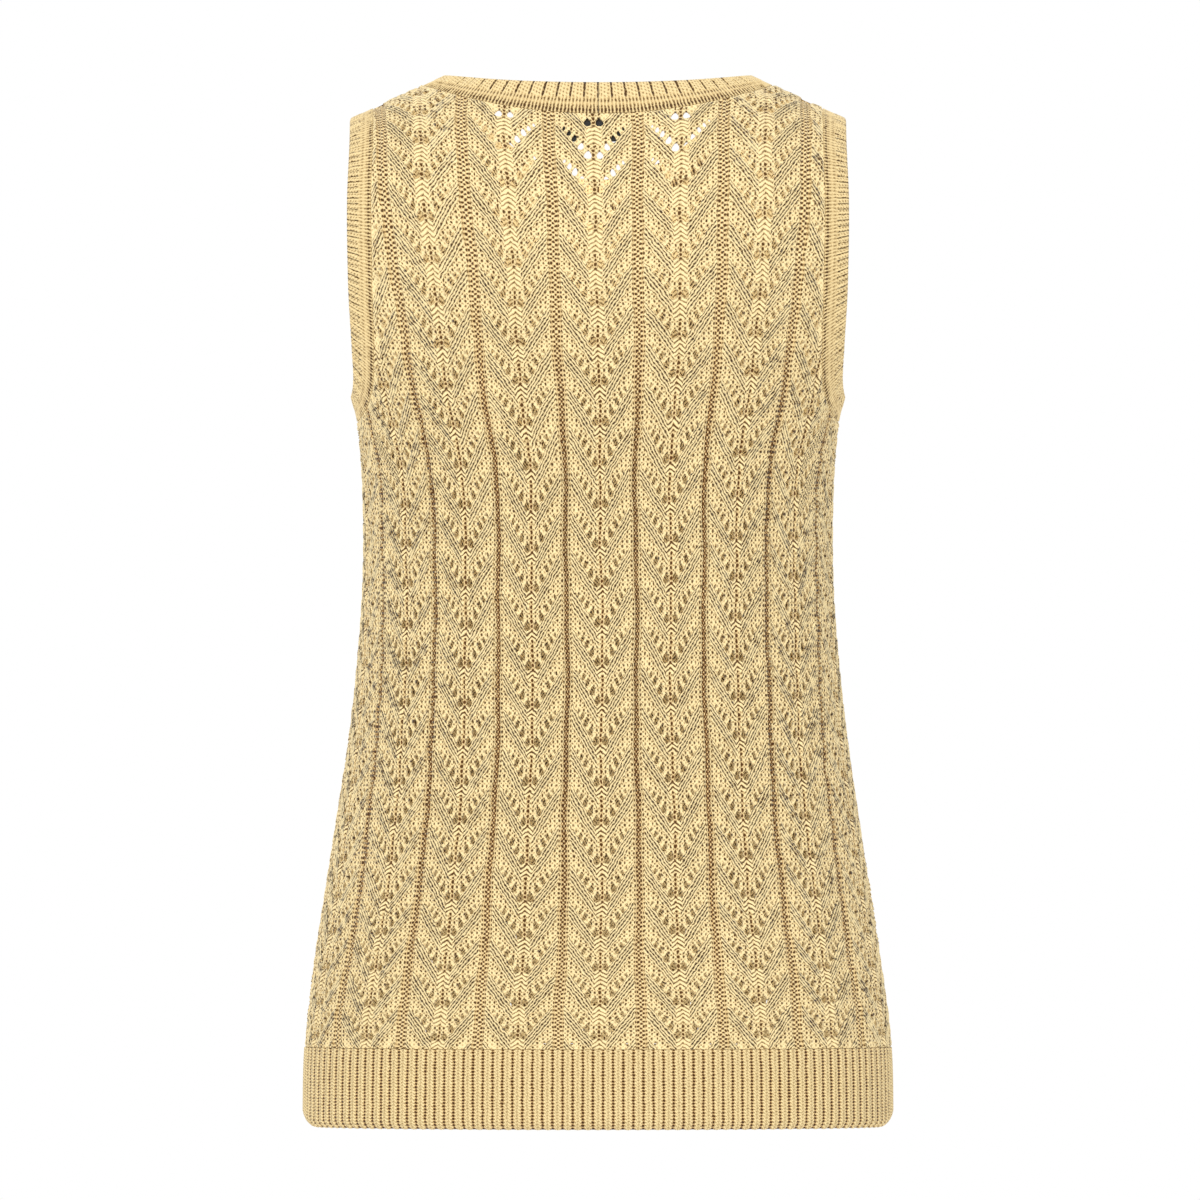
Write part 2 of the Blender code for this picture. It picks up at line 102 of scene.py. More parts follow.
# Armhole: angle round the section at the shoulder, its growth, and the lowest point
ARM_EDGE = {"angle": math.radians(57.5), "power": 3.5, "bottom": UNDERARM_EDGE}
ARM_SEAM = {"angle": math.radians(50.0), "power": 4.26, "bottom": UNDERARM_SEAM}

# Lace columns: their width along the cloth, the lean of the middle one, and their gutters
LACE_COLUMNS = ("height", "column_width", "lean", "gutter")
LACE = (
    (-616.0, 50.0, -1.0, 5.4),
    (-568.0, 49.6, -1.2, 5.2),
    (-480.0, 45.4, -1.8, 3.8),
    (-384.0, 42.2, -2.2, 2.9),
    (-288.0, 41.6, -2.0, 2.7),
    (-216.0, 42.8, -1.2, 3.0),
    (-180.0, 46.2, -0.6, 3.8),
    (-120.0, 49.4, 0.4, 5.0),
    (-50.0, 52.2, 2.4, 5.8),
    (50.0, 53.0, 4.0, 5.8),
)

# Heights of the eyelet pairs of the middle column, by the number of the leaf repeat
REPEAT_COLUMNS = ("repeat", "rise")
REPEATS = (
    (0.0, -581.8),
    (1.0, -562.2),
    (4.0, -501.0),
    (5.0, -479.6),
    (10.0, -363.2),
    (15.0, -244.4),
    (18.0, -172.5),
    (21.0, -102.6),
    (25.0, -11.1),
    (28.0, 58.0),
)

# How much higher the leaves of the columns beside the middle one sit
LIFT_PLACES = (-2.0, -1.0, 0.0, 1.0, 2.0)
LIFT_COLUMNS = ("height", *LIFT_PLACES)
LIFT = (
    (-570.0, 1.0, 1.0, 0.0, 0.0, 0.0),
    (-400.0, 3.0, 2.0, 0.0, -1.0, 0.0),
    (-300.0, 4.0, 2.1, 0.0, -2.7, -1.0),
    (-220.0, 5.0, 2.4, 0.0, -2.7, -1.0),
    (-190.0, 6.0, 5.0, 0.0, 0.0, -1.2),
    (-130.0, 6.0, 5.5, 0.0, 1.0, 1.0),
    (-80.0, 7.0, 5.0, 0.0, 2.0, 5.0),
    (-50.0, 8.5, 4.0, 0.0, 3.5, 8.0),
    (-10.0, 9.0, 4.0, 0.0, 4.0, 9.0),
)

# Unevenness of worn knitwear: size, length up the cloth, and change from column to column
LIFT_WAVES = ((0.5, 31.0, 2.1), (0.35, 12.3, -3.7))
SWAY_WAVES = ((0.45, 23.0, 1.9), (0.3, 9.1, -2.3))

# Leaf chart: across from the middle of a column (0) to its gutter (1), up by repeats
HALF_COLUMN = 20.6
REPEAT_HEIGHT = 23.4
DIAGONAL_START = 0.145
DIAGONAL_SLOPE = 0.686
SLANT_START = 0.5
SLANT_WALES = 4
UPRIGHT_WALES = 8
COURSES = 8
SLANT_COURSES = 0.92
SLANT_SHEAR = 0.53
MIDDLE_EDGE = 0.08
SLANT_EDGE = 0.86
FRONT_SHIFT = 0.5
PURL_PITCH = 1.33
CALM_SHARE = 0.5

# Soft edges in the leaf chart: where each begins and where it is complete
SLANT_RISE = (0.47, 0.53)
SLANT_INNER = (0.06, 0.12)
SLANT_OUTER = (0.83, 0.89)
CALM_RISE = (0.23, 0.31)
CALM_INNER = (0.04, 0.1)
CALM_OUTER = (0.7, 0.8)
ARCH_RISE = (0.73, 0.79)
ARCH_OUTER = (0.12, 0.17)
MIDDLE_OUTER = (0.01, 0.06)
GUTTER_INNER = (0.98, 1.02)
GUTTER_SHARES = (0.07, 0.105)

# Depth of the gaps in each stitch, and what shapes them
KNIT_GAP = {"steady": 0.2, "course": 0.82, "legs": 0.72}
CORD_GAP = {"steady": 0.56, "course": 0.5}
PURL_GAP = {"outer": 1.35, "inner": 1.2, "sharp": 0.6}
ARCH_GAP = {"depth": 0.9, "slant": 6.5, "wide_loss": 0.3, "wide_height": 0.33, "wide_reach": 0.02}
MIDDLE_GAP = {"steady": 0.2, "course": 0.8, "depth": 0.85, "arch_loss": 0.75}
RIB_GAP = {"steady": 0.4, "course": 0.65, "legs": 0.6, "twist": 0.5, "twists": 4}

# Eyelets on each side of a column: place across, height of the foot, width, height, lean
EYELET_COLUMNS = ("across", "foot", "width", "height", "lean")
EYELETS = (
    (3.0, 0.2, 3.5, 6.0, -0.4),
    (6.5, 5.9, 2.9, 5.9, -0.9),
    (9.4, 11.3, 2.4, 5.6, -0.8),
    (11.7, 15.4, 1.9, 4.4, -0.6),
    (13.9, 19.2, 1.2, 3.0, -0.4),
)
EYELET_SIDES = 10
EYELET_DROP = 0.3
EYELET_FULLNESS = 0.35
EYELET_CLEARANCE = 0.5
EYELET_VARIATION = 0.1
EYELET_WALL = 1.2
EYELET_RIM_DROP = 0.1
OUTLINE_CLEARANCE = 0.8
OUTLINE_STEP = 1.6
FINE_STEP = 0.3

# Points of the lace mesh: steps in the chart, and the shift of every other line
SLANT_POINTS = {"step": 0.05, "shift": 0.025}
UPRIGHT_POINTS = {"start": 0.05, "end": 0.47, "step": 0.055, "shift": 0.02}
STRAIGHT_POINTS = {"end": 0.999, "step": 0.06}
POINT_COLUMNS = range(-5, 6)
EYELET_PLACES = range(-4, 5)
REPEAT_COUNT = 28
PLACE_DIGITS = 5

# Straight lines of points at the middle and the gutter: place across, and shift up
STRAIGHT_LINES = ((0.0, 0.0), (0.045, 0.03), (0.88, 0.0), (0.915, 0.03), (0.955, 0.0), (1.0, 0.03))

# Pieces of a panel, parted along two gutters: name, first and last place in columns
PANEL_PARTS = (
    ("right", -math.inf, -1.5),
    ("middle", -1.5, 1.5),
    ("left", 1.5, math.inf),
)

# Outline of a panel: points along each of its lines, and the limit of its corners
OUTLINE_POINTS = {"side": 60, "arm": 60, "neck": 50, "hem": 25}
CORNER_LIMIT = 0.4

# Relief of the lace
WALE_HEIGHT = 0.45
LEAF_PLACES = (0.0, 0.3, 0.5, 0.75, 1.0)
LEAF_RELIEF = (-0.4, -0.1, 0.3, 0.75, 0.2)
MIDDLE_RELIEF = -0.3
GUTTER_RELIEF = -0.7
EDGE_RELIEF = -0.1

# Hem: its ribs and its rolled lower edge; inside rows lie at shares of the way down
HEM_RIBS = 75
HEM_COURSES = 25
POINTS_PER_RIB = 8
HEM_CURL = 3.0
HEM_CURL_START = 0.9
HEM_FOLD = 0.5
HEM_CORNER_LIFT = 6.0
HEM_CORNER_REACH = 13.0
HEM_SCALLOP = 0.45
HEM_INSIDE = (1.0, 0.9, 0.5, 0.0)
RIB_RELIEF = 0.9
RIB_MIDDLE = 0.45
RIB_OUT = 0.2

# Ribs and stitches of the bands, and how strong their lines are
NECK_RIBS = 70
NECK_STITCHES = 280
NECK_STRENGTH = 0.9
ARM_RIBS = 132
ARM_STITCHES = 224
ARM_STRENGTH = 0.7
BAND_COURSES = 5
BAND_ROWS = 15
POINTS_PER_STITCH = 4
BAND_RELIEF = 0.75
BAND_STITCH_RELIEF = 0.45
BAND_MIDDLE = 0.4
BAND_OUT = 0.1
BAND_ROLL = 0.5
BAND_ROLL_SHARE = 0.07
BAND_ZONE = (0.47, 0.53)
BAND_RIB = {"level": 0.78, "edge": (0.4, 0.47), "steady": 0.35, "course": 0.4}
BAND_FINE = {"level": 0.77, "steady": 0.25, "course": 0.3}
BAND_MOTTLE = {"depth": 0.4, "courses": 1.6, "ribs": 1.3}
BAND_SEAM = {"place": 0.9, "edge": (0.02, 0.06), "depth": 0.6}

# Rows on the inside of a band: share of the way to the seam, and share of the wall
BAND_INSIDE = (
    (1.0, 1.0),
    (0.5, 1.0),
    (0.05, 1.0),
    (-0.03, 0.8),
    (-0.06, 0.5),
)

# Label inside the back neck
LABEL_HALF_WIDTH = 28.0
LABEL_TOP = -11.5
LABEL_BOTTOM = -25.0
LABEL_THICKNESS = 0.8
LABEL_GAP = 0.6
LABEL_COLUMNS = 29
LABEL_ROWS = 9
LABEL_PITCH = 2.2
LABEL_ROUGHNESS = 0.6
LABEL_BUMP = 0.0001

# Colours, as linear values
# Yarn's own colour brightened with painted highlight, on the crests of the stitches
YARN_CREST_HIGHLIGHT = (0.88, 0.71, 0.385, 1.0)
# Painted shade between the stitches: the yarn a little darker on their sides and nearly black in the
# gaps between them
YARN_MIDDLE = (0.56, 0.4, 0.18, 1.0)
YARN_GAP_SHADE = (0.1, 0.045, 0.008, 1.0)
# Painted shade, deeper still in the recessed gutters, the middle furrow and the hem's furrows
GUTTER_PAINTED_SHADE = (0.95, 0.7, 0.45, 1.0)
UNEVEN_TINT = (0.93, 0.92, 0.9, 1.0)
LABEL_BLACK = (0.012, 0.012, 0.013, 1.0)
LABEL_GREY = (0.04, 0.04, 0.042, 1.0)
FLOOR_COLOUR = (0.86, 0.85, 0.83, 1.0)
WORLD_COLOUR = (1.0, 1.0, 1.0, 1.0)

# Yarn: its surface, its noise, and the stitch heights where its painted shade in the gaps and painted
# highlight on the crests begin and end
YARN_ROUGHNESS = 0.85
YARN_SHEEN = 0.12
YARN_SPECULAR = 0.2
YARN_BUMP = 0.0007
NOISE_SCALES = {"fibre": 1400.0, "slub": 90.0, "broad": 11.0, "across": 260.0, "up": 300.0}
FIBRE_DETAIL = 3.0
FIBRE_IN_COLOUR = 0.5
FIBRE_IN_BUMP = 0.25
SLUB_SHARE = 0.6
GAP_SHADE_RANGE = (0.3, 0.55)
HIGHLIGHT_RANGE = (0.5, 0.9)
UNEVEN_RANGE = (0.3, 0.7)
# How strong the painted shade is in the gutters, the middle furrow and the hem's furrows, and how
# much of it wide gutters lose
GUTTER_SHADE = 0.8
MIDDLE_SHADE = 0.7
WIDE_SHADE_LOSS = 0.7
FURROW_SHADE = 0.6

# How far the stitches of each yarn waver, across and up its chart
LACE_WAVER = (0.05, 0.09)
RIB_WAVER = (0.25, 0.6)
NECK_WAVER = (0.003, 0.1)
ARM_WAVER = (0.004, 0.1)

# Camera: a long lens behind the garment, square on
VIEW_WIDTH = 0.72
VIEW_DISTANCE = 16.0
VIEW_CENTRE = (-0.0012, 0.0, -0.3)
SENSOR_WIDTH = 36.0

# Floor
FLOOR_HEIGHT = -0.9
FLOOR_SIZE = 3.0
FLOOR_ROUGHNESS = 0.9

# Studio lights, in metres and watts
STUDIO_COLUMNS = ("name", "place", "size", "power")
STUDIO_LIGHTS = (
    ("key", (1.2, 3.4, 2.0), 1.4, 70.0),
    ("fill", (-2.2, 3.0, 0.2), 2.5, 20.0),
    ("front", (0.6, -3.4, 1.4), 2.5, 50.0),
)

# Dim lights inside the hollow, in metres and watts
INNER_LIGHT_RADIUS = 0.03
INNER_COLUMNS = ("height", "power")
INNER_LIGHTS = (
    (-0.07, 0.26),
    (-0.27, 0.055),
    (-0.42, 0.055),
    (-0.55, 0.075),
)

# Numbers of samples, and rounds of the searches that come closer each time
SAMPLES = {"gauss": 8, "repeat": 400, "edge": 2001}
ROUNDS = {"angle": 4, "height": 6, "place": 2, "rise": 4}
MERGE_DISTANCE = 1e-6
TRIANGLES_INSIDE = 1

GAUSS_NODES, GAUSS_WEIGHTS = np.polynomial.legendre.leggauss(SAMPLES["gauss"])
rng = np.random.default_rng(SEED)


# Figure

def unit(vectors):
    """The same directions with a length of 1."""
    return vectors / np.linalg.norm(vectors, axis=-1, keepdims=True)


def smooth_through(table, names, name):
    """Return a function that runs smoothly through one column of a table."""
    heights = np.array([row[0] for row in table])
    values = np.array([row[names.index(name)] for row in table])
    slopes = np.gradient(values, heights)

    def value(height):
        height = np.clip(height, heights[0], heights[-1])
        low = np.clip(np.searchsorted(heights, height) - 1, 0, len(heights) - 2)
        step = heights[low + 1] - heights[low]
        f = (height - heights[low]) / step
        start = (1 + 2 * f) * (1 - f) ** 2 * values[low] + f * (1 - f) ** 2 * step * slopes[low]
        end = f**2 * (3 - 2 * f) * values[low + 1] - f**2 * (1 - f) * step * slopes[low + 1]
        return start + end

    return value


half_width = smooth_through(BODY, BODY_COLUMNS, "half_width")
back_depth = smooth_through(BODY, BODY_COLUMNS, "back_depth")
front_depth = smooth_through(BODY, BODY_COLUMNS, "front_depth")
back_column_width = smooth_through(LACE, LACE_COLUMNS, "column_width")
column_lean = smooth_through(LACE, LACE_COLUMNS, "lean")
gutter_width = smooth_through(LACE, LACE_COLUMNS, "gutter")
repeat_rise = smooth_through(REPEATS, REPEAT_COLUMNS, "rise")
column_lifts = [smooth_through(LIFT, LIFT_COLUMNS, place) for place in LIFT_PLACES]


def depth(side, z):
    return back_depth(z) if side > 0 else front_depth(z)


def shoulder_height(x):
    return SHOULDER_PEAK - np.sqrt(SHOULDER_SOFTNESS**2 + (SHOULDER_SLOPE * x) ** 2)


def rounding(x):
    """Radius with which the cloth turns over the shoulder, larger towards the neck."""
    return ROUNDING_SHOULDER + ROUNDING_NECK * np.exp(-((x / ROUNDING_REACH) ** 2))


def run_down(x, z):
    """Length over the cloth from the shoulder line down to height z."""
    radius = rounding(x)
    drop = shoulder_height(x) - z
    turned = radius * np.arccos(np.clip(1 - drop / radius, 0.0, 1.0))
    return turned + np.maximum(drop - radius, 0.0)


def drop_after(x, run):
    """Fall in height after a length over the cloth from the shoulder line."""
    radius = rounding(x)
    turned = np.minimum(run / radius, math.pi / 2)
    return radius * (1 - np.cos(turned)) + np.maximum(run - radius * math.pi / 2, 0.0)


def turned_share(x, run):
    """How far the cloth has turned out from the shoulder line, 0 to 1."""
    return np.sin(np.minimum(run / rounding(x), math.pi / 2))


def arc_length(angle, z, side):
    """Length round the section from its middle to an angle."""
    wide = half_width(z)
    deep = depth(side, z)
    total = 0.0
    for node, weight in zip(GAUSS_NODES, GAUSS_WEIGHTS):
        at = angle * (node + 1) / 2
        total = total + weight * np.hypot(wide * np.cos(at), deep * np.sin(at))
    return total * angle / 2


def angle_at(arc, z, side):
    """Angle round the section at a length from its middle."""
    wide = half_width(z)
    deep = depth(side, z)
    angle = arc / wide
    for _ in range(ROUNDS["angle"]):
        speed = np.hypot(wide * np.cos(angle), deep * np.sin(angle))
        angle = angle - (arc_length(angle, z, side) - arc) / speed
    return angle


def cloth_height(x, z):
    """Height measured over the cloth, equal to z below the chest line."""
    over = CHEST_LINE + run_down(x, CHEST_LINE) - run_down(x, z)
    return np.where(z < CHEST_LINE, z, over)


def on_figure(side, arc, rise):
    """Points of the figure at a length round the section and a height over the cloth."""
    below = rise < CHEST_LINE
    z = rise.copy()
    angle = angle_at(arc, z, side)
    for _ in range(ROUNDS["height"]):
        x = half_width(z) * np.sin(angle)
        run = run_down(x, CHEST_LINE) - (rise - CHEST_LINE)
        z = np.where(below, rise, shoulder_height(x) - drop_after(x, run))
        upper = ~below
        angle[upper] = angle_at(arc[upper], z[upper], side)
    x = half_width(z) * np.sin(angle)
    run = run_down(x, CHEST_LINE) - (rise - CHEST_LINE)
    y = side * depth(side, z) * np.cos(angle) * turned_share(x, run)
    return np.stack([x, y, z], axis=-1)


class Figure:
    """One side of the figure, read from a fine grid so that many points take little time."""

    STEP = 4.0
    REACH = 272.0
    LOW = -624.0
    HIGH = 72.0

    def __init__(self, side):
        self.side = side
        arcs = np.arange(-self.REACH, self.REACH + 1, self.STEP)
        rises = np.arange(self.LOW, self.HIGH + 1, self.STEP)
        grid_arc, grid_rise = np.meshgrid(arcs, rises, indexing="ij")
        shape = grid_arc.shape
        self.grid = on_figure(side, grid_arc.ravel(), grid_rise.ravel()).reshape(*shape, 3)

    def weights(self, f):
        """Weights of four neighbours on a smooth curve, and their slopes."""
        value = (
            ((2 - f) * f - 1) * f / 2,
            ((3 * f - 5) * f * f + 2) / 2,
            ((4 - 3 * f) * f + 1) * f / 2,
            (f - 1) * f * f / 2,
        )
        slope = (
            ((4 - 3 * f) * f - 1) / 2,
            (9 * f - 10) * f / 2,
            ((8 - 9 * f) * f + 1) / 2,
            (3 * f - 2) * f / 2,
        )
        return value, slope

    def place(self, arc, rise):
        """Points and outward normals."""
        across = (np.asarray(arc, dtype=float) + self.REACH) / self.STEP
        up = (np.asarray(rise, dtype=float) - self.LOW) / self.STEP
        i = np.clip(np.floor(across).astype(int), 1, self.grid.shape[0] - 3)
        j = np.clip(np.floor(up).astype(int), 1, self.grid.shape[1] - 3)
        across_value, across_slope = self.weights(across - i)
        up_value, up_slope = self.weights(up - j)
        point = 0.0
        along = 0.0
        rising = 0.0
        for a in range(4):
            for b in range(4):
                corner = self.grid[i + a - 1, j + b - 1]
                point = point + corner * (across_value[a] * up_value[b])[..., None]
                along = along + corner * (across_slope[a] * up_value[b])[..., None]
                rising = rising + corner * (across_value[a] * up_slope[b])[..., None]
        return point, unit(-self.side * np.cross(along, rising))


FIGURES = {BACK: Figure(BACK), FRONT: Figure(FRONT)}


def raised(side, arc, rise, out):
    """Points at a height out over the figure."""
    point, normal = FIGURES[side].place(arc, rise)
    return point + normal * np.asarray(out)[..., None]


def raised_each(sides, arc, rise, out):
    """Points out over the figure, each on a side of its own."""
    points = np.zeros((len(arc), 3))
    for side in (BACK, FRONT):
        here = sides == side
        points[here] = raised(side, arc[here], rise[here], out[here])
    return points


def to_cloth(side, angle, z):
    """Turn an angle round the section and a height into lengths over the cloth."""
    x = half_width(z) * np.sin(angle)
    return arc_length(angle, z, side), cloth_height(x, z)


def armhole(side, edge, turn):
    """Armhole line from the shoulder (turn 0) to the underarm (turn pi), wearer's left."""
    angle = edge["angle"] + (math.pi / 2 - edge["angle"]) * (turn / math.pi) ** edge["power"]
    shoulder_x = half_width(0.0) * math.sin(edge["angle"])
    top = shoulder_height(shoulder_x)
    z = edge["bottom"] + (top - edge["bottom"]) * (1 + np.cos(turn)) / 2
    return to_cloth(side, angle, z)


def neckline(side, edge, turn):
    """Neck line from the middle (turn 0) to the shoulder (turn pi / 2), wearer's left."""
    x = edge["half_width"] * np.sin(turn)
    z = shoulder_height(edge["half_width"]) - edge[side] * np.cos(turn) ** 2
    return to_cloth(side, np.arcsin(x / half_width(z)), z)


def side_seam(side, rise):
    """Length round the section from the middle to the side seam."""
    return arc_length(np.full_like(rise, math.pi / 2), rise, side)


# Leaf chart over the cloth

REPEAT_GRID = np.linspace(REPEATS[0][0], REPEATS[-1][0], SAMPLES["repeat"])
RISE_GRID = repeat_rise(REPEAT_GRID)


def across_body(source, target, arc, rise):
    """Length round one side of a section that lies at the same x as a length round the other."""
    if source == target:
        return arc
    level = np.minimum(rise, CHEST_LINE)
    return arc_length(angle_at(arc, level, source), level, target)


def unevenness(waves, place, rise):
    """Sum of waves up the cloth that shift from column to column."""
    return sum(size * np.sin(rise / length + change * place) for size, length, change in waves)


def lift(place, rise):
    """How much higher the leaves sit at a place, uneven as in worn knitwear."""
    place = np.clip(place, LIFT_PLACES[0], LIFT_PLACES[-1])
    total = 0.0
    for at, column in zip(LIFT_PLACES, column_lifts):
        total = total + column(rise) * np.clip(1 - np.abs(place - at), 0.0, 1.0)
    return total + unevenness(LIFT_WAVES, place, rise)


def sway(place, rise):
    """How far the columns lean and waver sideways."""
    return column_lean(rise) + unevenness(SWAY_WAVES, place, rise)


def chart_of(side, arc, rise):
    """Place across in columns and height in repeats of points on the cloth."""
    width = back_column_width(rise)
    arc = across_body(side, BACK, arc, rise)
    place = arc / width
    for _ in range(ROUNDS["place"]):
        place = (arc - sway(place, rise)) / width
    repeat = np.interp(rise - lift(place, rise), RISE_GRID, REPEAT_GRID)
    return place, repeat + (0.0 if side > 0 else FRONT_SHIFT)


def from_chart(side, place, repeat):
    """Lengths over the cloth of places in the chart."""
    repeat = repeat - (0.0 if side > 0 else FRONT_SHIFT)
    flat_rise = np.interp(repeat, REPEAT_GRID, RISE_GRID)
    rise = flat_rise
    for _ in range(ROUNDS["rise"]):
        rise = flat_rise + lift(place, rise)
    arc = place * back_column_width(rise) + sway(place, rise)
    return across_body(BACK, side, arc, rise), rise


# Formulas that serve both the meshes and the materials

class Field:
    """A value that varies over a surface, written as a formula and kept as Math nodes."""

    def __init__(self, tree, source):
        self.tree = tree
        self.source = source

    def join(self, operation, *others, first=None, clamp=False):
        node = self.tree.nodes.new("ShaderNodeMath")
        node.operation = operation
        node.use_clamp = clamp
        values = (self if first is None else first, *others)
        for socket, value in zip(node.inputs, values):
            if isinstance(value, Field):
                self.tree.links.new(value.source, socket)
            else:
                socket.default_value = value
        return Field(self.tree, node.outputs[0])

    def __add__(self, other):
        return self.join("ADD", other)

    __radd__ = __add__

    def __mul__(self, other):
        return self.join("MULTIPLY", other)

    def __sub__(self, other):
        return self.join("SUBTRACT", other)

    def __rsub__(self, other):
        return self.join("SUBTRACT", self, first=other)

    def __truediv__(self, other):
        return self.join("DIVIDE", other)


def cosine(x):
    return x.join("COSINE") if isinstance(x, Field) else np.cos(x)


def fraction(x):
    return x.join("FRACT") if isinstance(x, Field) else x - np.floor(x)


def magnitude(x):
    return x.join("ABSOLUTE") if isinstance(x, Field) else np.abs(x)


def ramp(x, low, high):
    """0 up to low and 1 from high on, even between them."""
    scaled = (x - low) * (1 / (high - low))
    if isinstance(x, Field):
        return scaled.join("MULTIPLY", 1.0, clamp=True)
    return np.clip(scaled, 0.0, 1.0)


def blend(low, high, share):
    return low + (high - low) * share


def wave(x):
    """1 at whole numbers and 0 midway between them."""
    return cosine(x * (2 * math.pi)) * 0.5 + 0.5


def dots(phase, course):
    """1 where phase and course are whole numbers, and 0 where either is midway."""
    spot = wave(phase) * wave(course)
    return spot * spot


def knit_stitch(phase, course):
    """Height of stockinette: gaps between the wales, and smaller ones between their legs."""
    gap = wave(phase) * wave(phase)
    gap = gap * (wave(course) * KNIT_GAP["course"] + KNIT_GAP["steady"])
    return 1 - gap - dots(phase + 0.5, course + 0.5) * KNIT_GAP["legs"]


def cord_stitch(phase, course):
    """Height of cords that run side by side, with nearly unbroken gaps between them."""
    gap = wave(phase) * wave(phase)
    return 1 - gap * (wave(course) * CORD_GAP["course"] + CORD_GAP["steady"])


def purl_stitch(place, course, wide):
    """Height of a purl column, whose edges are at -1 and 1: gaps that zigzag up it."""
    phase = place / PURL_PITCH + 0.5
    outer = wave(phase) * wave(course)
    inner = wave(phase + 0.5) * wave(course + 0.5)
    sharp = wide * PURL_GAP["sharp"]
    outer = outer * blend(1.0, outer, sharp) * PURL_GAP["outer"]
    inner = inner * blend(1.0, inner, sharp) * PURL_GAP["inner"]
    return 1 - outer - inner


def leaf_chart(place, repeat, gutter_share, courses):
    """Stitch height, stage of the leaf, and shares of middle and gutter, over the lace."""
    across = magnitude(fraction(place + 0.5) - 0.5) * 2
    stage = fraction(repeat - (across - DIAGONAL_START) * (1 / DIAGONAL_SLOPE))
    course = repeat * courses
    wide = ramp(gutter_share, *GUTTER_SHARES)

    # Upright wales below, wales along the edge of the leaf above
    slanted = ramp(stage, *SLANT_RISE) * (1 - ramp(across, *SLANT_OUTER)) * ramp(across, *SLANT_INNER)
    slant_phase = (stage - SLANT_START) * (SLANT_WALES / (1 - SLANT_START))
    slant_course = (repeat + across * SLANT_SHEAR) * (courses * SLANT_COURSES)
    upright = knit_stitch(across * UPRIGHT_WALES, course)
    stitch = blend(upright, cord_stitch(slant_phase, slant_course), slanted)

    # Calmer cloth round the eyelets
    calm = (1 - ramp(stage, *CALM_RISE)) * ramp(across, *CALM_INNER) * (1 - ramp(across, *CALM_OUTER))
    stitch = blend(stitch, 1.0, calm * CALM_SHARE)

    # Arches over the tip of the leaf
    arches = ramp(fraction(repeat) + wide * ARCH_GAP["wide_height"], *ARCH_RISE)
    arches = arches * (1 - ramp(across - wide * ARCH_GAP["wide_reach"], *ARCH_OUTER))
    row = wave(course + across * ARCH_GAP["slant"])
    arch = 1 - row * row * (ARCH_GAP["depth"] - wide * ARCH_GAP["wide_loss"])
    stitch = blend(stitch, arch, arches)

    # Furrow up the middle, and purl stitches in the gutter
    middle = 1 - ramp(across, *MIDDLE_OUTER)
    middle = middle * (wave(course) * MIDDLE_GAP["course"] + MIDDLE_GAP["steady"])
    stitch = stitch * (1 - middle * (1 - arches * MIDDLE_GAP["arch_loss"]) * MIDDLE_GAP["depth"])
    gutter = ramp(across + gutter_share, *GUTTER_INNER)
    purl = purl_stitch((fraction(place) - 0.5) * 2 / gutter_share, course, wide)
    return blend(stitch, purl, gutter), stage, middle, gutter


def rib_stitch(rib, course):
    """Height over a 2 by 1 rib, up to 1: two wales of knit and a purl furrow."""
    furrow = wave(rib) * wave(rib)
    furrow = furrow * furrow
    gap = furrow * (wave(course) * RIB_GAP["course"] + RIB_GAP["steady"])
    legs = dots(rib + 0.5, course + 0.5) * RIB_GAP["legs"]
    twist = wave(rib * RIB_GAP["twists"] + course) * wave(course) * RIB_GAP["twist"]
    return 1 - gap - legs - twist, furrow


# Meshes

def add_object(name, data):
    """Put a mesh, a light or the camera into the scene."""
    item = bpy.data.objects.new(name, data)
    bpy.context.scene.collection.objects.link(item)
    return item


def new_object(name, vertices, faces, material, chart):
    """A smooth mesh whose points carry their place in a chart."""
    mesh = bpy.data.meshes.new(name)
    mesh.from_pydata((vertices * MM).tolist(), [], faces)
    values = np.zeros((len(mesh.vertices), 3))
    values[:, : chart.shape[1]] = chart
    layer = mesh.attributes.new("chart", "FLOAT_VECTOR", "POINT")
    layer.data.foreach_set("vector", values.ravel())
    mesh.materials.append(material)
    mesh.shade_smooth()
    mesh.update()
    return add_object(name, mesh)


def inset_loop(loop, distance):
    """Move a counter-clockwise outline inwards by a distance."""
    first = unit(loop - np.roll(loop, 1, axis=0))
    second = np.roll(first, -1, axis=0)
    left_first = np.stack([-first[:, 1], first[:, 0]], axis=1)
    left_second = np.stack([-second[:, 1], second[:, 0]], axis=1)
    corner = unit(left_first + left_second)
    reach = distance / np.maximum((corner * left_first).sum(axis=1), CORNER_LIMIT)
    return loop + corner * reach[:, None]


def inside(points, loop):
    """Which points lie inside a closed outline."""
    hit = np.zeros(len(points), dtype=bool)
    for (ax, ay), (bx, by) in zip(loop, np.roll(loop, -1, axis=0)):
        spans = (points[:, 1] < ay) != (points[:, 1] < by)
        height = by - ay if by != ay else 1.0
        crossing = ax + (points[:, 1] - ay) / height * (bx - ax)
        hit ^= spans & (points[:, 0] < crossing)
    return hit


def clear_of(points, loop, margin):
    """Which points are further than a margin from the points of an outline."""
    tree = KDTree(len(loop))
    for number, (x, y) in enumerate(loop.tolist()):
        tree.insert((x, y, 0.0), number)
    tree.balance()
    return np.array([tree.find((x, y, 0.0))[2] > margin for x, y in points.tolist()])


def even_steps(loop, step):
    """Add points to a closed outline so that no side is longer than a step."""
    points = []
    for start, end in zip(loop, np.roll(loop, -1, axis=0)):
        count = max(1, math.ceil(np.linalg.norm(end - start) / step))
        points += [start + (end - start) * i / count for i in range(count)]
    return np.array(points)


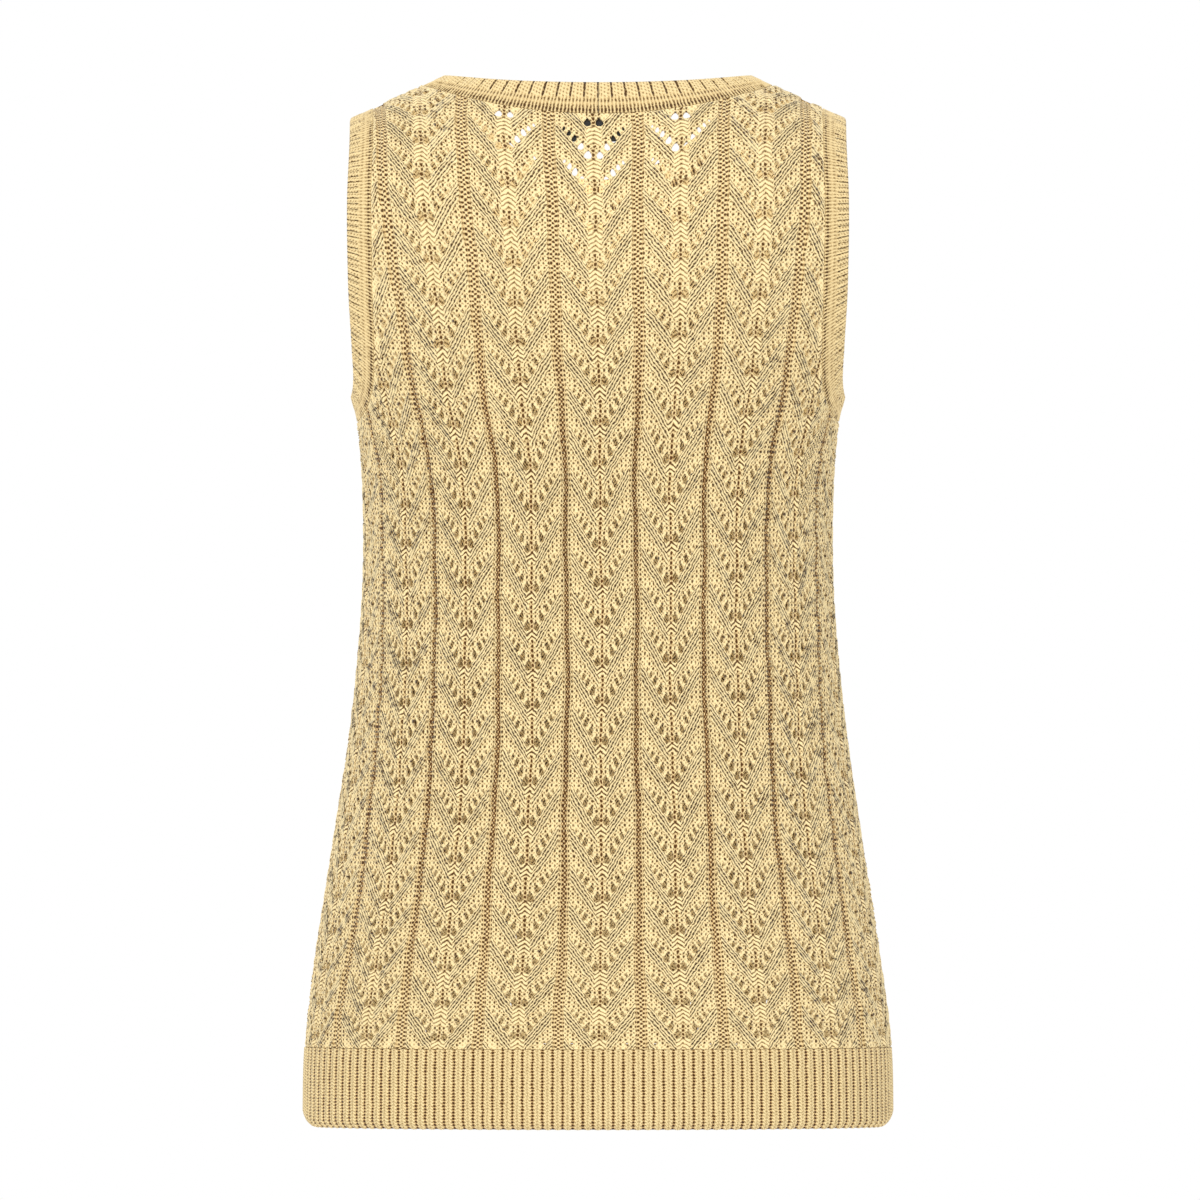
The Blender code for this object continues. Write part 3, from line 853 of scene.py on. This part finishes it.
def panel_outline(side):
    """Outline of a panel over the cloth, counter-clockwise, before its seam gap."""
    side_rise = np.linspace(HEM_TOP, UNDERARM_SEAM, OUTLINE_POINTS["side"])
    side_line = np.stack([side_seam(side, side_rise), side_rise], axis=1)
    turns = np.linspace(math.pi, 0.0, OUTLINE_POINTS["arm"])
    arm_line = np.stack(armhole(side, ARM_SEAM, turns), axis=1)
    turns = np.linspace(math.pi / 2, 0.0, OUTLINE_POINTS["neck"])
    neck_line = np.stack(neckline(side, NECK_SEAM, turns), axis=1)
    right_half = np.concatenate([side_line, arm_line[1:], neck_line])
    left_half = right_half[-2::-1] * (-1.0, 1.0)
    hem_arcs = np.linspace(-side_line[0, 0], side_line[0, 0], OUTLINE_POINTS["hem"])[1:-1]
    hem_line = np.stack([hem_arcs, np.full_like(hem_arcs, HEM_TOP)], axis=1)
    return np.concatenate([right_half, left_half, hem_line])


def eyelet_shape(across, foot, width, height, lean):
    """Teardrop outline in the chart's millimetres, with its foot at a height."""
    turn = np.arange(EYELET_SIDES) / EYELET_SIDES * 2 * math.pi
    x = width / 2 * np.sin(turn) * (1 + EYELET_FULLNESS * np.cos(turn))
    z = height / 2 * (1 - np.cos(turn))
    return np.stack([across + x + lean * z / height, foot - EYELET_DROP + z], axis=1)


def half_leaf_points():
    """Points of half a leaf repeat, along the crests and troughs of its wales."""
    points = []
    for line in range(2 * SLANT_WALES + 1):
        stage = SLANT_START + (1 - SLANT_START) * line / (2 * SLANT_WALES)
        across = np.arange(MIDDLE_EDGE, SLANT_EDGE, SLANT_POINTS["step"])
        across = across + (line % 2) * SLANT_POINTS["shift"]
        repeat = stage + (across - DIAGONAL_START) / DIAGONAL_SLOPE
        points.append(np.stack([across, repeat], axis=1))
    steps = np.arange(UPRIGHT_POINTS["start"], UPRIGHT_POINTS["end"], UPRIGHT_POINTS["step"])
    for line in range(1, 2 * UPRIGHT_WALES - 1):
        across = line / (2 * UPRIGHT_WALES)
        low = (across - DIAGONAL_START) / DIAGONAL_SLOPE
        repeat = low + steps + (line % 2) * UPRIGHT_POINTS["shift"]
        points.append(np.stack([np.full_like(repeat, across), repeat], axis=1))
    for across, shift in STRAIGHT_LINES:
        repeat = np.arange(0.0, STRAIGHT_POINTS["end"], STRAIGHT_POINTS["step"]) + shift
        points.append(np.stack([np.full_like(repeat, across), repeat], axis=1))
    return np.concatenate(points)


def lace_cell():
    """Points and eyelets of half a leaf repeat, with the points near an eyelet left out."""
    points = half_leaf_points()
    points[:, 1] -= np.floor(points[:, 1])
    scale = np.array([HALF_COLUMN, REPEAT_HEIGHT])
    shapes = [eyelet_shape(**dict(zip(EYELET_COLUMNS, row))) for row in EYELETS]
    for shape in shapes:
        for turn in (-1, 0, 1):
            moved = points * scale + (0.0, turn * REPEAT_HEIGHT)
            clear = clear_of(moved, even_steps(shape, FINE_STEP), EYELET_CLEARANCE)
            points = points[~inside(moved, shape) & clear]
    return points, [shape / scale for shape in shapes]


def lace_points(side, outline, cell):
    """Chart points of a whole panel that lie inside its outline."""
    places = []
    for column, hand, repeat in product(POINT_COLUMNS, (-1, 1), range(REPEAT_COUNT)):
        places.append(np.stack([column + hand * cell[:, 0] / 2, cell[:, 1] + repeat], axis=1))
    places = np.unique(np.round(np.concatenate(places), PLACE_DIGITS), axis=0)
    arc, rise = from_chart(side, *places.T)
    flat = np.stack([arc, rise], axis=1)
    flat = flat[inside(flat, outline)]
    return flat[clear_of(flat, even_steps(outline, FINE_STEP), OUTLINE_CLEARANCE)]


def lace_eyelets(side, outline, shapes):
    """Outlines of a panel's eyelets, each a little different in size."""
    corners = []
    for column, hand, repeat in product(EYELET_PLACES, (-1, 1), range(REPEAT_COUNT)):
        for shape in shapes:
            size = 1 + EYELET_VARIATION * rng.uniform(-1.0, 1.0)
            middle = shape.mean(axis=0)
            corner = (shape - middle) * size + middle
            corner = corner * (hand / 2, 1.0) + (column, repeat)
            corners.append(corner[::hand])
    corners = np.stack(from_chart(side, *np.concatenate(corners).T), axis=1)
    clear = clear_of(corners, even_steps(outline, FINE_STEP), 2 * OUTLINE_CLEARANCE)
    kept = inside(corners, outline) & clear
    holes = corners.reshape(-1, EYELET_SIDES, 2)
    whole = kept.reshape(-1, EYELET_SIDES).all(axis=1)
    return list(holes[whole])


def flat_mesh(outline, holes, points):
    """Triangles of an outline with holes: the outline's points, the holes', then the rest."""
    loops = [outline] + holes
    flat = np.concatenate(loops + [points])
    owner = np.full(len(flat), -1)
    edges = []
    start = 0
    for number, loop in enumerate(loops):
        count = len(loop)
        edges += [(start + i, start + (i + 1) % count) for i in range(count)]
        owner[start : start + count] = number
        start += count
    spots = [Vector(point) for point in flat.tolist()]
    result = delaunay_2d_cdt(spots, edges, [], TRIANGLES_INSIDE, MERGE_DISTANCE)
    _, _, triangles, sources, _, _ = result
    origin = np.array([source[0] for source in sources])
    faces = origin[np.array(triangles)]
    owners = owner[faces]
    in_hole = (owners > 0).all(axis=1) & (owners == owners[:, :1]).all(axis=1)
    return flat, faces[~in_hole]


def lace_relief(place, repeat, share, rim):
    """Height of the lace out over the figure, lower round its eyelets and at its edge."""
    stitch, stage, middle, gutter = leaf_chart(place, repeat, share, 0.0)
    relief = np.interp(stage, LEAF_PLACES, LEAF_RELIEF)
    relief = blend(blend(relief, MIDDLE_RELIEF, middle), GUTTER_RELIEF, gutter)
    out = relief + (stitch - 0.5) * 2 * WALE_HEIGHT
    out[rim] = relief[rim] - EYELET_RIM_DROP
    out[: rim.start] = EDGE_RELIEF
    return out


def eyelet_walls(rim, inner_start):
    """Quads between the outer and inner rims of the eyelets."""
    outer = np.arange(rim.start, rim.stop).reshape(-1, EYELET_SIDES)
    after = np.roll(outer, -1, axis=1)
    shift = inner_start - rim.start
    return np.stack([after, outer, outer + shift, after + shift], axis=-1).reshape(-1, 4)


def part_panel(name, flat, groups, vertices, chart, material):
    """Split a panel's faces by the columns of its chart, with each piece's flat size."""
    pieces = []
    for part, low, high in PANEL_PARTS:
        selected = []
        for group in groups:
            centre = chart[group][:, :, 0].mean(axis=1)
            selected += group[(centre >= low) & (centre < high)].tolist()
        used = np.unique(np.concatenate([np.array(face) for face in selected]))
        renumber = np.full(len(vertices), -1)
        renumber[used] = np.arange(len(used))
        kept = [renumber[face].tolist() for face in selected]
        area = flat_area(flat, [face for face in selected if len(face) == 3])
        reach = np.ptp(flat[used], axis=0)
        piece = new_object(f"{name}_{part}", vertices[used], kept, material, chart[used])
        pieces.append((piece, reach, area))
    return pieces


def make_panel(name, side, material):
    """A lace panel in three pieces, parted along two gutters."""
    coarse = inset_loop(panel_outline(side), SEAM_GAP / 2)
    cell, shapes = lace_cell()
    points = lace_points(side, coarse, cell)
    holes = lace_eyelets(side, coarse, shapes)
    outline = even_steps(coarse, OUTLINE_STEP)
    flat, faces = flat_mesh(outline, holes, points)
    rim = slice(len(outline), len(outline) + EYELET_SIDES * len(holes))
    arc, rise = flat.T
    place, repeat = chart_of(side, arc, rise)
    share = gutter_width(rise) / back_column_width(rise)
    out = lace_relief(place, repeat, share, rim)
    inner = raised(side, arc[rim], rise[rim], out[rim] - EYELET_WALL)
    vertices = np.concatenate([raised(side, arc, rise, out), inner])
    chart = np.stack([place, repeat, share], axis=1)
    chart = np.concatenate([chart, chart[rim]])
    groups = (faces, eyelet_walls(rim, len(flat)))
    flat = np.concatenate([flat, flat[rim]])
    return part_panel(name, flat, groups, vertices, chart, material)


def flat_area(flat, triangles):
    """Area of triangles that lie flat."""
    a, b, c = (flat[np.array(triangles)[:, i]] for i in range(3))
    across = (b - a)[:, 0] * (c - a)[:, 1] - (b - a)[:, 1] * (c - a)[:, 0]
    return float(np.abs(across).sum() / 2)


def wall_faces(rows, columns, ring):
    """Quads of a grid whose last row joins its first, as its columns do in a ring."""
    numbers = np.arange(rows * columns).reshape(rows, columns)
    left = numbers if ring else numbers[:, :-1]
    right = np.roll(numbers, -1, axis=1) if ring else numbers[:, 1:]
    next_left, next_right = (np.roll(corner, -1, axis=0) for corner in (left, right))
    return np.stack([left, next_left, next_right, right], axis=-1).reshape(-1, 4).tolist()


def hem_curl(share):
    """How far the hem rolls inwards at a share of the way down."""
    return HEM_CURL * max(0.0, (share - HEM_CURL_START) / (1 - HEM_CURL_START)) ** 2


def make_hem(name, side, material):
    """Half of the ribbed hem, with a soft rolled lower edge, as a closed wall."""
    columns = POINTS_PER_RIB * HEM_RIBS + 1
    rib = np.linspace(0.0, HEM_RIBS, columns)
    across = 2 * rib / HEM_RIBS - 1
    top = HEM_TOP - SEAM_GAP / 2
    reach = side_seam(side, np.full_like(rib, top)) - SEAM_GAP / 2
    from_corner = (1 - np.abs(across)) * reach / HEM_CORNER_REACH
    edge = HEM_BOTTOM + HEM_CORNER_LIFT * np.exp(-(from_corner**2)) + HEM_SCALLOP * wave(rib)
    stitch, _ = rib_stitch(rib, 0.0)
    layers = []
    charts = []

    def layer(share, out, lower=0.0):
        rise = top + (edge - lower - top) * share
        arc = across * (side_seam(side, rise) - SEAM_GAP / 2)
        layers.append(raised(side, arc, rise, out - hem_curl(share)))
        charts.append(np.stack([rib, np.full_like(rib, share * HEM_COURSES)], axis=1))

    for share in np.linspace(0.0, 1.0, 2 * HEM_COURSES + 1):
        layer(share, (stitch - RIB_MIDDLE) * RIB_RELIEF + RIB_OUT)
    layer(1.0, -WALL / 2, HEM_FOLD)
    for share in HEM_INSIDE:
        layer(share, -WALL)
    faces = wall_faces(len(layers), columns, False)
    return new_object(name, np.concatenate(layers), faces, material, np.concatenate(charts))


def ring_points(curve, edge, places, hand):
    """Lengths over the cloth at places round a closed edge, with each point's side."""
    turns = places * 2 * math.pi
    if curve is armhole:
        side = np.where(turns <= math.pi, BACK, FRONT)
        turn = np.where(turns <= math.pi, turns, 2 * math.pi - turns)
        sign = np.full_like(turns, hand)
    else:
        side = np.where(np.cos(turns) >= 0, BACK, FRONT)
        turn = np.arcsin(np.clip(np.abs(np.sin(turns)), 0.0, 1.0))
        sign = np.where(np.sin(turns) >= 0, 1.0, -1.0)
    arc = np.zeros_like(turns)
    rise = np.zeros_like(turns)
    for value in (BACK, FRONT):
        here = side == value
        arc[here], rise[here] = curve(value, edge, turn[here])
    return arc * sign, rise, side


def even_places(curve, edge, count, hand):
    """Places round an edge that lie evenly along the cloth."""
    fine = np.linspace(0.0, 1.0, SAMPLES["edge"])
    arc, rise, side = ring_points(curve, edge, fine[:-1], hand)
    points = raised_each(side, arc, rise, np.zeros_like(arc))
    gaps = np.linalg.norm(np.roll(points, -1, axis=0) - points, axis=1)
    along = np.concatenate([[0.0], np.cumsum(gaps)])
    return np.interp(np.arange(count) / count * along[-1], along, fine), float(along[-1])


def band_relief(place, share, ribs, stitches, courses, strength):
    """Height over a band: cross ribs by the free edge, fine stitches by the seam."""
    step = wave(share * courses)
    gap = wave(place * stitches)
    line = ramp(magnitude(fraction(place * ribs) - 0.5), *BAND_RIB["edge"])
    line = line * (step * BAND_RIB["course"] + BAND_RIB["steady"]) * strength
    mottle = wave(share * (courses * BAND_MOTTLE["courses"]) + place * (ribs * BAND_MOTTLE["ribs"]))
    coarse = BAND_RIB["level"] - line - gap * mottle * BAND_MOTTLE["depth"]
    fine = BAND_FINE["level"] - gap * (step * BAND_FINE["course"] + BAND_FINE["steady"]) * strength
    seam = 1 - ramp(magnitude(share - BAND_SEAM["place"]), *BAND_SEAM["edge"])
    zone = ramp(share, *BAND_ZONE)
    return blend(coarse, fine, zone) - seam * gap * BAND_SEAM["depth"], zone


def make_band(name, curve, edges, ribs, stitches, hand, material):
    """A band round an opening as a closed wall, rolled a little at its free edge."""
    count = POINTS_PER_STITCH * stitches
    places, length = even_places(curve, edges[0], count, hand)
    _, seam_length = even_places(curve, edges[1], count, hand)
    even = np.arange(count) / count
    arc_a, rise_a, side = ring_points(curve, edges[0], places, hand)
    arc_b, rise_b, _ = ring_points(curve, edges[1], places, hand)
    width = np.hypot(arc_b - arc_a, rise_b - rise_a)
    layers = []
    charts = []

    def layer(share, out):
        share = np.minimum(share, 1.0 - SEAM_GAP / 2 / width)
        arc = arc_a + (arc_b - arc_a) * share
        rise = rise_a + (rise_b - rise_a) * share
        layers.append(raised_each(side, arc, rise, out))
        charts.append(np.stack([even, share], axis=1))

    for share in np.linspace(0.0, 1.0, BAND_ROWS):
        stitch, zone = band_relief(even, share, ribs, stitches, 0.0, 1.0)
        height = blend(BAND_RELIEF, BAND_STITCH_RELIEF, zone)
        roll = BAND_ROLL * max(0.0, 1 - share / BAND_ROLL_SHARE)
        layer(share, (stitch - BAND_MIDDLE) * 2 * height + BAND_OUT - roll)
    for share, wall_share in BAND_INSIDE:
        layer(share, np.full_like(even, -WALL * wall_share))
    faces = wall_faces(len(layers), count, True)
    if curve is armhole and hand < 0 or curve is neckline:
        faces = [face[::-1] for face in faces]
    item = new_object(name, np.concatenate(layers), faces, material, np.concatenate(charts))
    return item, (float(width.mean()) * MM, (length + seam_length) / 2 * MM)


def make_label(name, material):
    """A small blank label inside the back neck, a little bowed."""
    columns = np.linspace(-LABEL_HALF_WIDTH, LABEL_HALF_WIDTH, LABEL_COLUMNS)
    heights = np.linspace(LABEL_TOP, LABEL_BOTTOM, LABEL_ROWS)
    near = -WALL - LABEL_GAP
    layers = []
    charts = []

    def layer(z, out):
        layers.append(raised(BACK, columns, cloth_height(columns, z), out))
        charts.append(np.stack([columns, np.full_like(columns, z)], axis=1))

    for z in heights:
        layer(z, near)
    for z in heights[::-1]:
        layer(z, near - LABEL_THICKNESS)
    rows = len(layers)
    count = len(columns)
    faces = wall_faces(rows, count, False)
    faces.append([row * count for row in range(rows)][::-1])
    faces.append([row * count + count - 1 for row in range(rows)])
    return new_object(name, np.concatenate(layers), faces, material, np.concatenate(charts))


# Materials

def new_material(name, roughness):
    """A material with its node tree and its shader."""
    material = bpy.data.materials.new(name)
    material.use_nodes = True
    shader = material.node_tree.nodes["Principled BSDF"]
    shader.inputs["Roughness"].default_value = roughness
    return material, material.node_tree, shader


def chart_fields(tree):
    """The three values of the chart that a piece's points carry."""
    attribute = tree.nodes.new("ShaderNodeAttribute")
    attribute.attribute_name = "chart"
    parts = tree.nodes.new("ShaderNodeSeparateXYZ")
    tree.links.new(attribute.outputs["Vector"], parts.inputs[0])
    return [Field(tree, parts.outputs[i]) for i in range(3)]


def colour_mix(tree, share, low, high, mode="MIX"):
    """Colour that goes from low to high with a share, or is multiplied by high."""
    node = tree.nodes.new("ShaderNodeMix")
    node.data_type = "RGBA"
    node.blend_type = mode
    tree.links.new(share.source, node.inputs[0])
    for socket, colour in ((node.inputs[6], low), (node.inputs[7], high)):
        if isinstance(colour, tuple):
            socket.default_value = colour
        else:
            tree.links.new(colour, socket)
    return node.outputs[2]


def noise(tree, kind, detail=2.0):
    """Noise between 0 and 1 that keeps its place on the piece."""
    place = tree.nodes.new("ShaderNodeTexCoord")
    node = tree.nodes.new("ShaderNodeTexNoise")
    node.inputs["Scale"].default_value = NOISE_SCALES[kind]
    node.inputs["Detail"].default_value = detail
    tree.links.new(place.outputs["Object"], node.inputs["Vector"])
    return Field(tree, node.outputs[0])


def connect(tree, shader, colour, height, bump_height):
    tree.links.new(colour, shader.inputs["Base Color"])
    bump = tree.nodes.new("ShaderNodeBump")
    bump.inputs["Strength"].default_value = 1.0
    bump.inputs["Distance"].default_value = bump_height
    tree.links.new(height.source, bump.inputs["Height"])
    tree.links.new(bump.outputs["Normal"], shader.inputs["Normal"])


def yarn_material(name, pattern, waver):
    """Matt cotton yarn whose stitches follow a pattern over the piece's chart."""
    material, tree, shader = new_material(name, YARN_ROUGHNESS)
    shader.inputs["Sheen Weight"].default_value = YARN_SHEEN
    shader.inputs["Specular IOR Level"].default_value = YARN_SPECULAR
    x, y, width = chart_fields(tree)
    x = x + (noise(tree, "across") - 0.5) * waver[0]
    y = y + (noise(tree, "up") - 0.5) * waver[1]
    stitch, shade = pattern(x, y, width)
    fibre = noise(tree, "fibre", FIBRE_DETAIL) - 0.5
    level = stitch + fibre * FIBRE_IN_COLOUR
    light = ramp(level, *HIGHLIGHT_RANGE)
    # Painted shade: the yarn darkens towards the gaps between the stitches
    colour = colour_mix(tree, ramp(level, *GAP_SHADE_RANGE), YARN_GAP_SHADE, YARN_MIDDLE)
    # Painted highlight on the crests of the stitches
    colour = colour_mix(tree, light, colour, YARN_CREST_HIGHLIGHT)
    if shade is not None:
        # Painted shade, deeper in the gutters, the middle furrow and the hem's furrows
        colour = colour_mix(tree, shade * (1 - light), colour, GUTTER_PAINTED_SHADE, "MULTIPLY")
    uneven = noise(tree, "slub") * SLUB_SHARE + noise(tree, "broad") * (1 - SLUB_SHARE)
    colour = colour_mix(tree, ramp(uneven, *UNEVEN_RANGE), colour, UNEVEN_TINT, "MULTIPLY")
    connect(tree, shader, colour, stitch + fibre * FIBRE_IN_BUMP, YARN_BUMP)
    return material


def lace_pattern(place, repeat, gutter_share):
    """Stitch height and shade of the lace, less shaded where its gutters are wide."""
    stitch, _, middle, gutter = leaf_chart(place, repeat, gutter_share, COURSES)
    narrow = 1 - ramp(gutter_share, *GUTTER_SHARES) * WIDE_SHADE_LOSS
    return stitch, (gutter * GUTTER_SHADE + middle * MIDDLE_SHADE) * narrow


def hem_pattern(rib, course, _):
    stitch, furrow = rib_stitch(rib, course)
    return stitch, furrow * FURROW_SHADE


def band_pattern(ribs, stitches, strength):
    def pattern(place, share, _):
        return band_relief(place, share, ribs, stitches, BAND_COURSES, strength)[0], None

    return pattern


def label_material():
    material, tree, shader = new_material("label_tape", LABEL_ROUGHNESS)
    x, y, _ = chart_fields(tree)
    weave = wave(x * LABEL_PITCH) * wave(y * LABEL_PITCH)
    connect(tree, shader, colour_mix(tree, weave, LABEL_BLACK, LABEL_GREY), weave, LABEL_BUMP)
    return material


# Studio

def make_stage():
    """A plain pale floor under an even white sky."""
    around = ((-1, -1), (1, -1), (1, 1), (-1, 1))
    corners = [(x * FLOOR_SIZE, y * FLOOR_SIZE, FLOOR_HEIGHT) for x, y in around]
    mesh = bpy.data.meshes.new("floor")
    mesh.from_pydata(corners, [], [(0, 1, 2, 3)])
    floor = add_object("floor", mesh)
    material, _, shader = new_material("floor", FLOOR_ROUGHNESS)
    shader.inputs["Base Color"].default_value = FLOOR_COLOUR
    mesh.materials.append(material)
    world = bpy.data.worlds.new("studio")
    world.use_nodes = True
    background = world.node_tree.nodes["Background"]
    background.inputs["Color"].default_value = WORLD_COLOUR
    background.inputs["Strength"].default_value = 1.0
    bpy.context.scene.world = world


def add_light(name, place, size, power):
    """A soft square light that points at the middle of the garment."""
    light = bpy.data.lights.new(name, "AREA")
    light.shape = "SQUARE"
    light.size = size
    light.energy = power
    item = add_object(name, light)
    item.location = place
    target = Vector(VIEW_CENTRE)
    item.rotation_euler = (target - Vector(place)).to_track_quat("-Z", "Y").to_euler()


def add_inner_light(height, power):
    """A dim light in the hollow, so that the inside shows through the eyelets."""
    light = bpy.data.lights.new("inner", "POINT")
    light.energy = power
    light.shadow_soft_size = INNER_LIGHT_RADIUS
    item = add_object("inner", light)
    item.location = (0.0, 0.0, height)
    item.visible_camera = False


def add_camera():
    """A long lens behind the garment that takes in the photograph's frame."""
    camera = bpy.data.cameras.new("camera")
    camera.sensor_width = SENSOR_WIDTH
    camera.lens = SENSOR_WIDTH * VIEW_DISTANCE / VIEW_WIDTH
    camera.clip_end = 4 * VIEW_DISTANCE
    item = add_object("camera", camera)
    item.location = Vector(VIEW_CENTRE) + Vector((0.0, VIEW_DISTANCE, 0.0))
    item.rotation_euler = (math.pi / 2, 0.0, math.pi)
    bpy.context.scene.camera = item


# The garment, piece by piece

def attach(piece, node):
    """Put a piece on the body it rides on, and hide the node that it replaces."""
    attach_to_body(piece, BODY_NAME)
    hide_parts(node)


def add_panels():
    lace = yarn_material("yarn_lace", lace_pattern, LACE_WAVER)
    for name, side in (("back", BACK), ("front", FRONT)):
        for piece, reach, area in make_panel(f"{name}_lace", side, lace):
            attach(piece, f"{name}_panel")
            area * MM * MM


def add_hem():
    rib = yarn_material("yarn_rib", hem_pattern, RIB_WAVER)
    for name, side in (("back", BACK), ("front", FRONT)):
        piece = make_hem(f"{name}_hem", side, rib)
        attach(piece, f"hem_rib_{name}")
        width = 2 * float(side_seam(side, (HEM_TOP + HEM_BOTTOM) / 2))


def add_bands():
    pattern = band_pattern(NECK_RIBS, NECK_STITCHES, NECK_STRENGTH)
    band = yarn_material("yarn_neck", pattern, NECK_WAVER)
    edges = (NECK_EDGE, NECK_SEAM)
    piece, flat = make_band("neck", neckline, edges, NECK_RIBS, NECK_STITCHES, 1, band)
    attach(piece, "neckband")
    pattern = band_pattern(ARM_RIBS, ARM_STITCHES, ARM_STRENGTH)
    band = yarn_material("yarn_arm", pattern, ARM_WAVER)
    edges = (ARM_EDGE, ARM_SEAM)
    for name, hand in (("left", 1), ("right", -1)):
        piece, flat = make_band(f"arm_{name}", armhole, edges, ARM_RIBS, ARM_STITCHES, hand, band)
        attach(piece, f"armband_{name}")


def add_label():
    piece = make_label("label", label_material())
    attach(piece, "neck_label")


def main():
    add_panels()
    add_hem()
    add_bands()
    add_label()
    make_stage()
    for row in STUDIO_LIGHTS:
        add_light(**dict(zip(STUDIO_COLUMNS, row)))
    for row in INNER_LIGHTS:
        add_inner_light(**dict(zip(INNER_COLUMNS, row)))
    add_camera()
    bpy.context.scene.view_settings.view_transform = "Standard"


main()
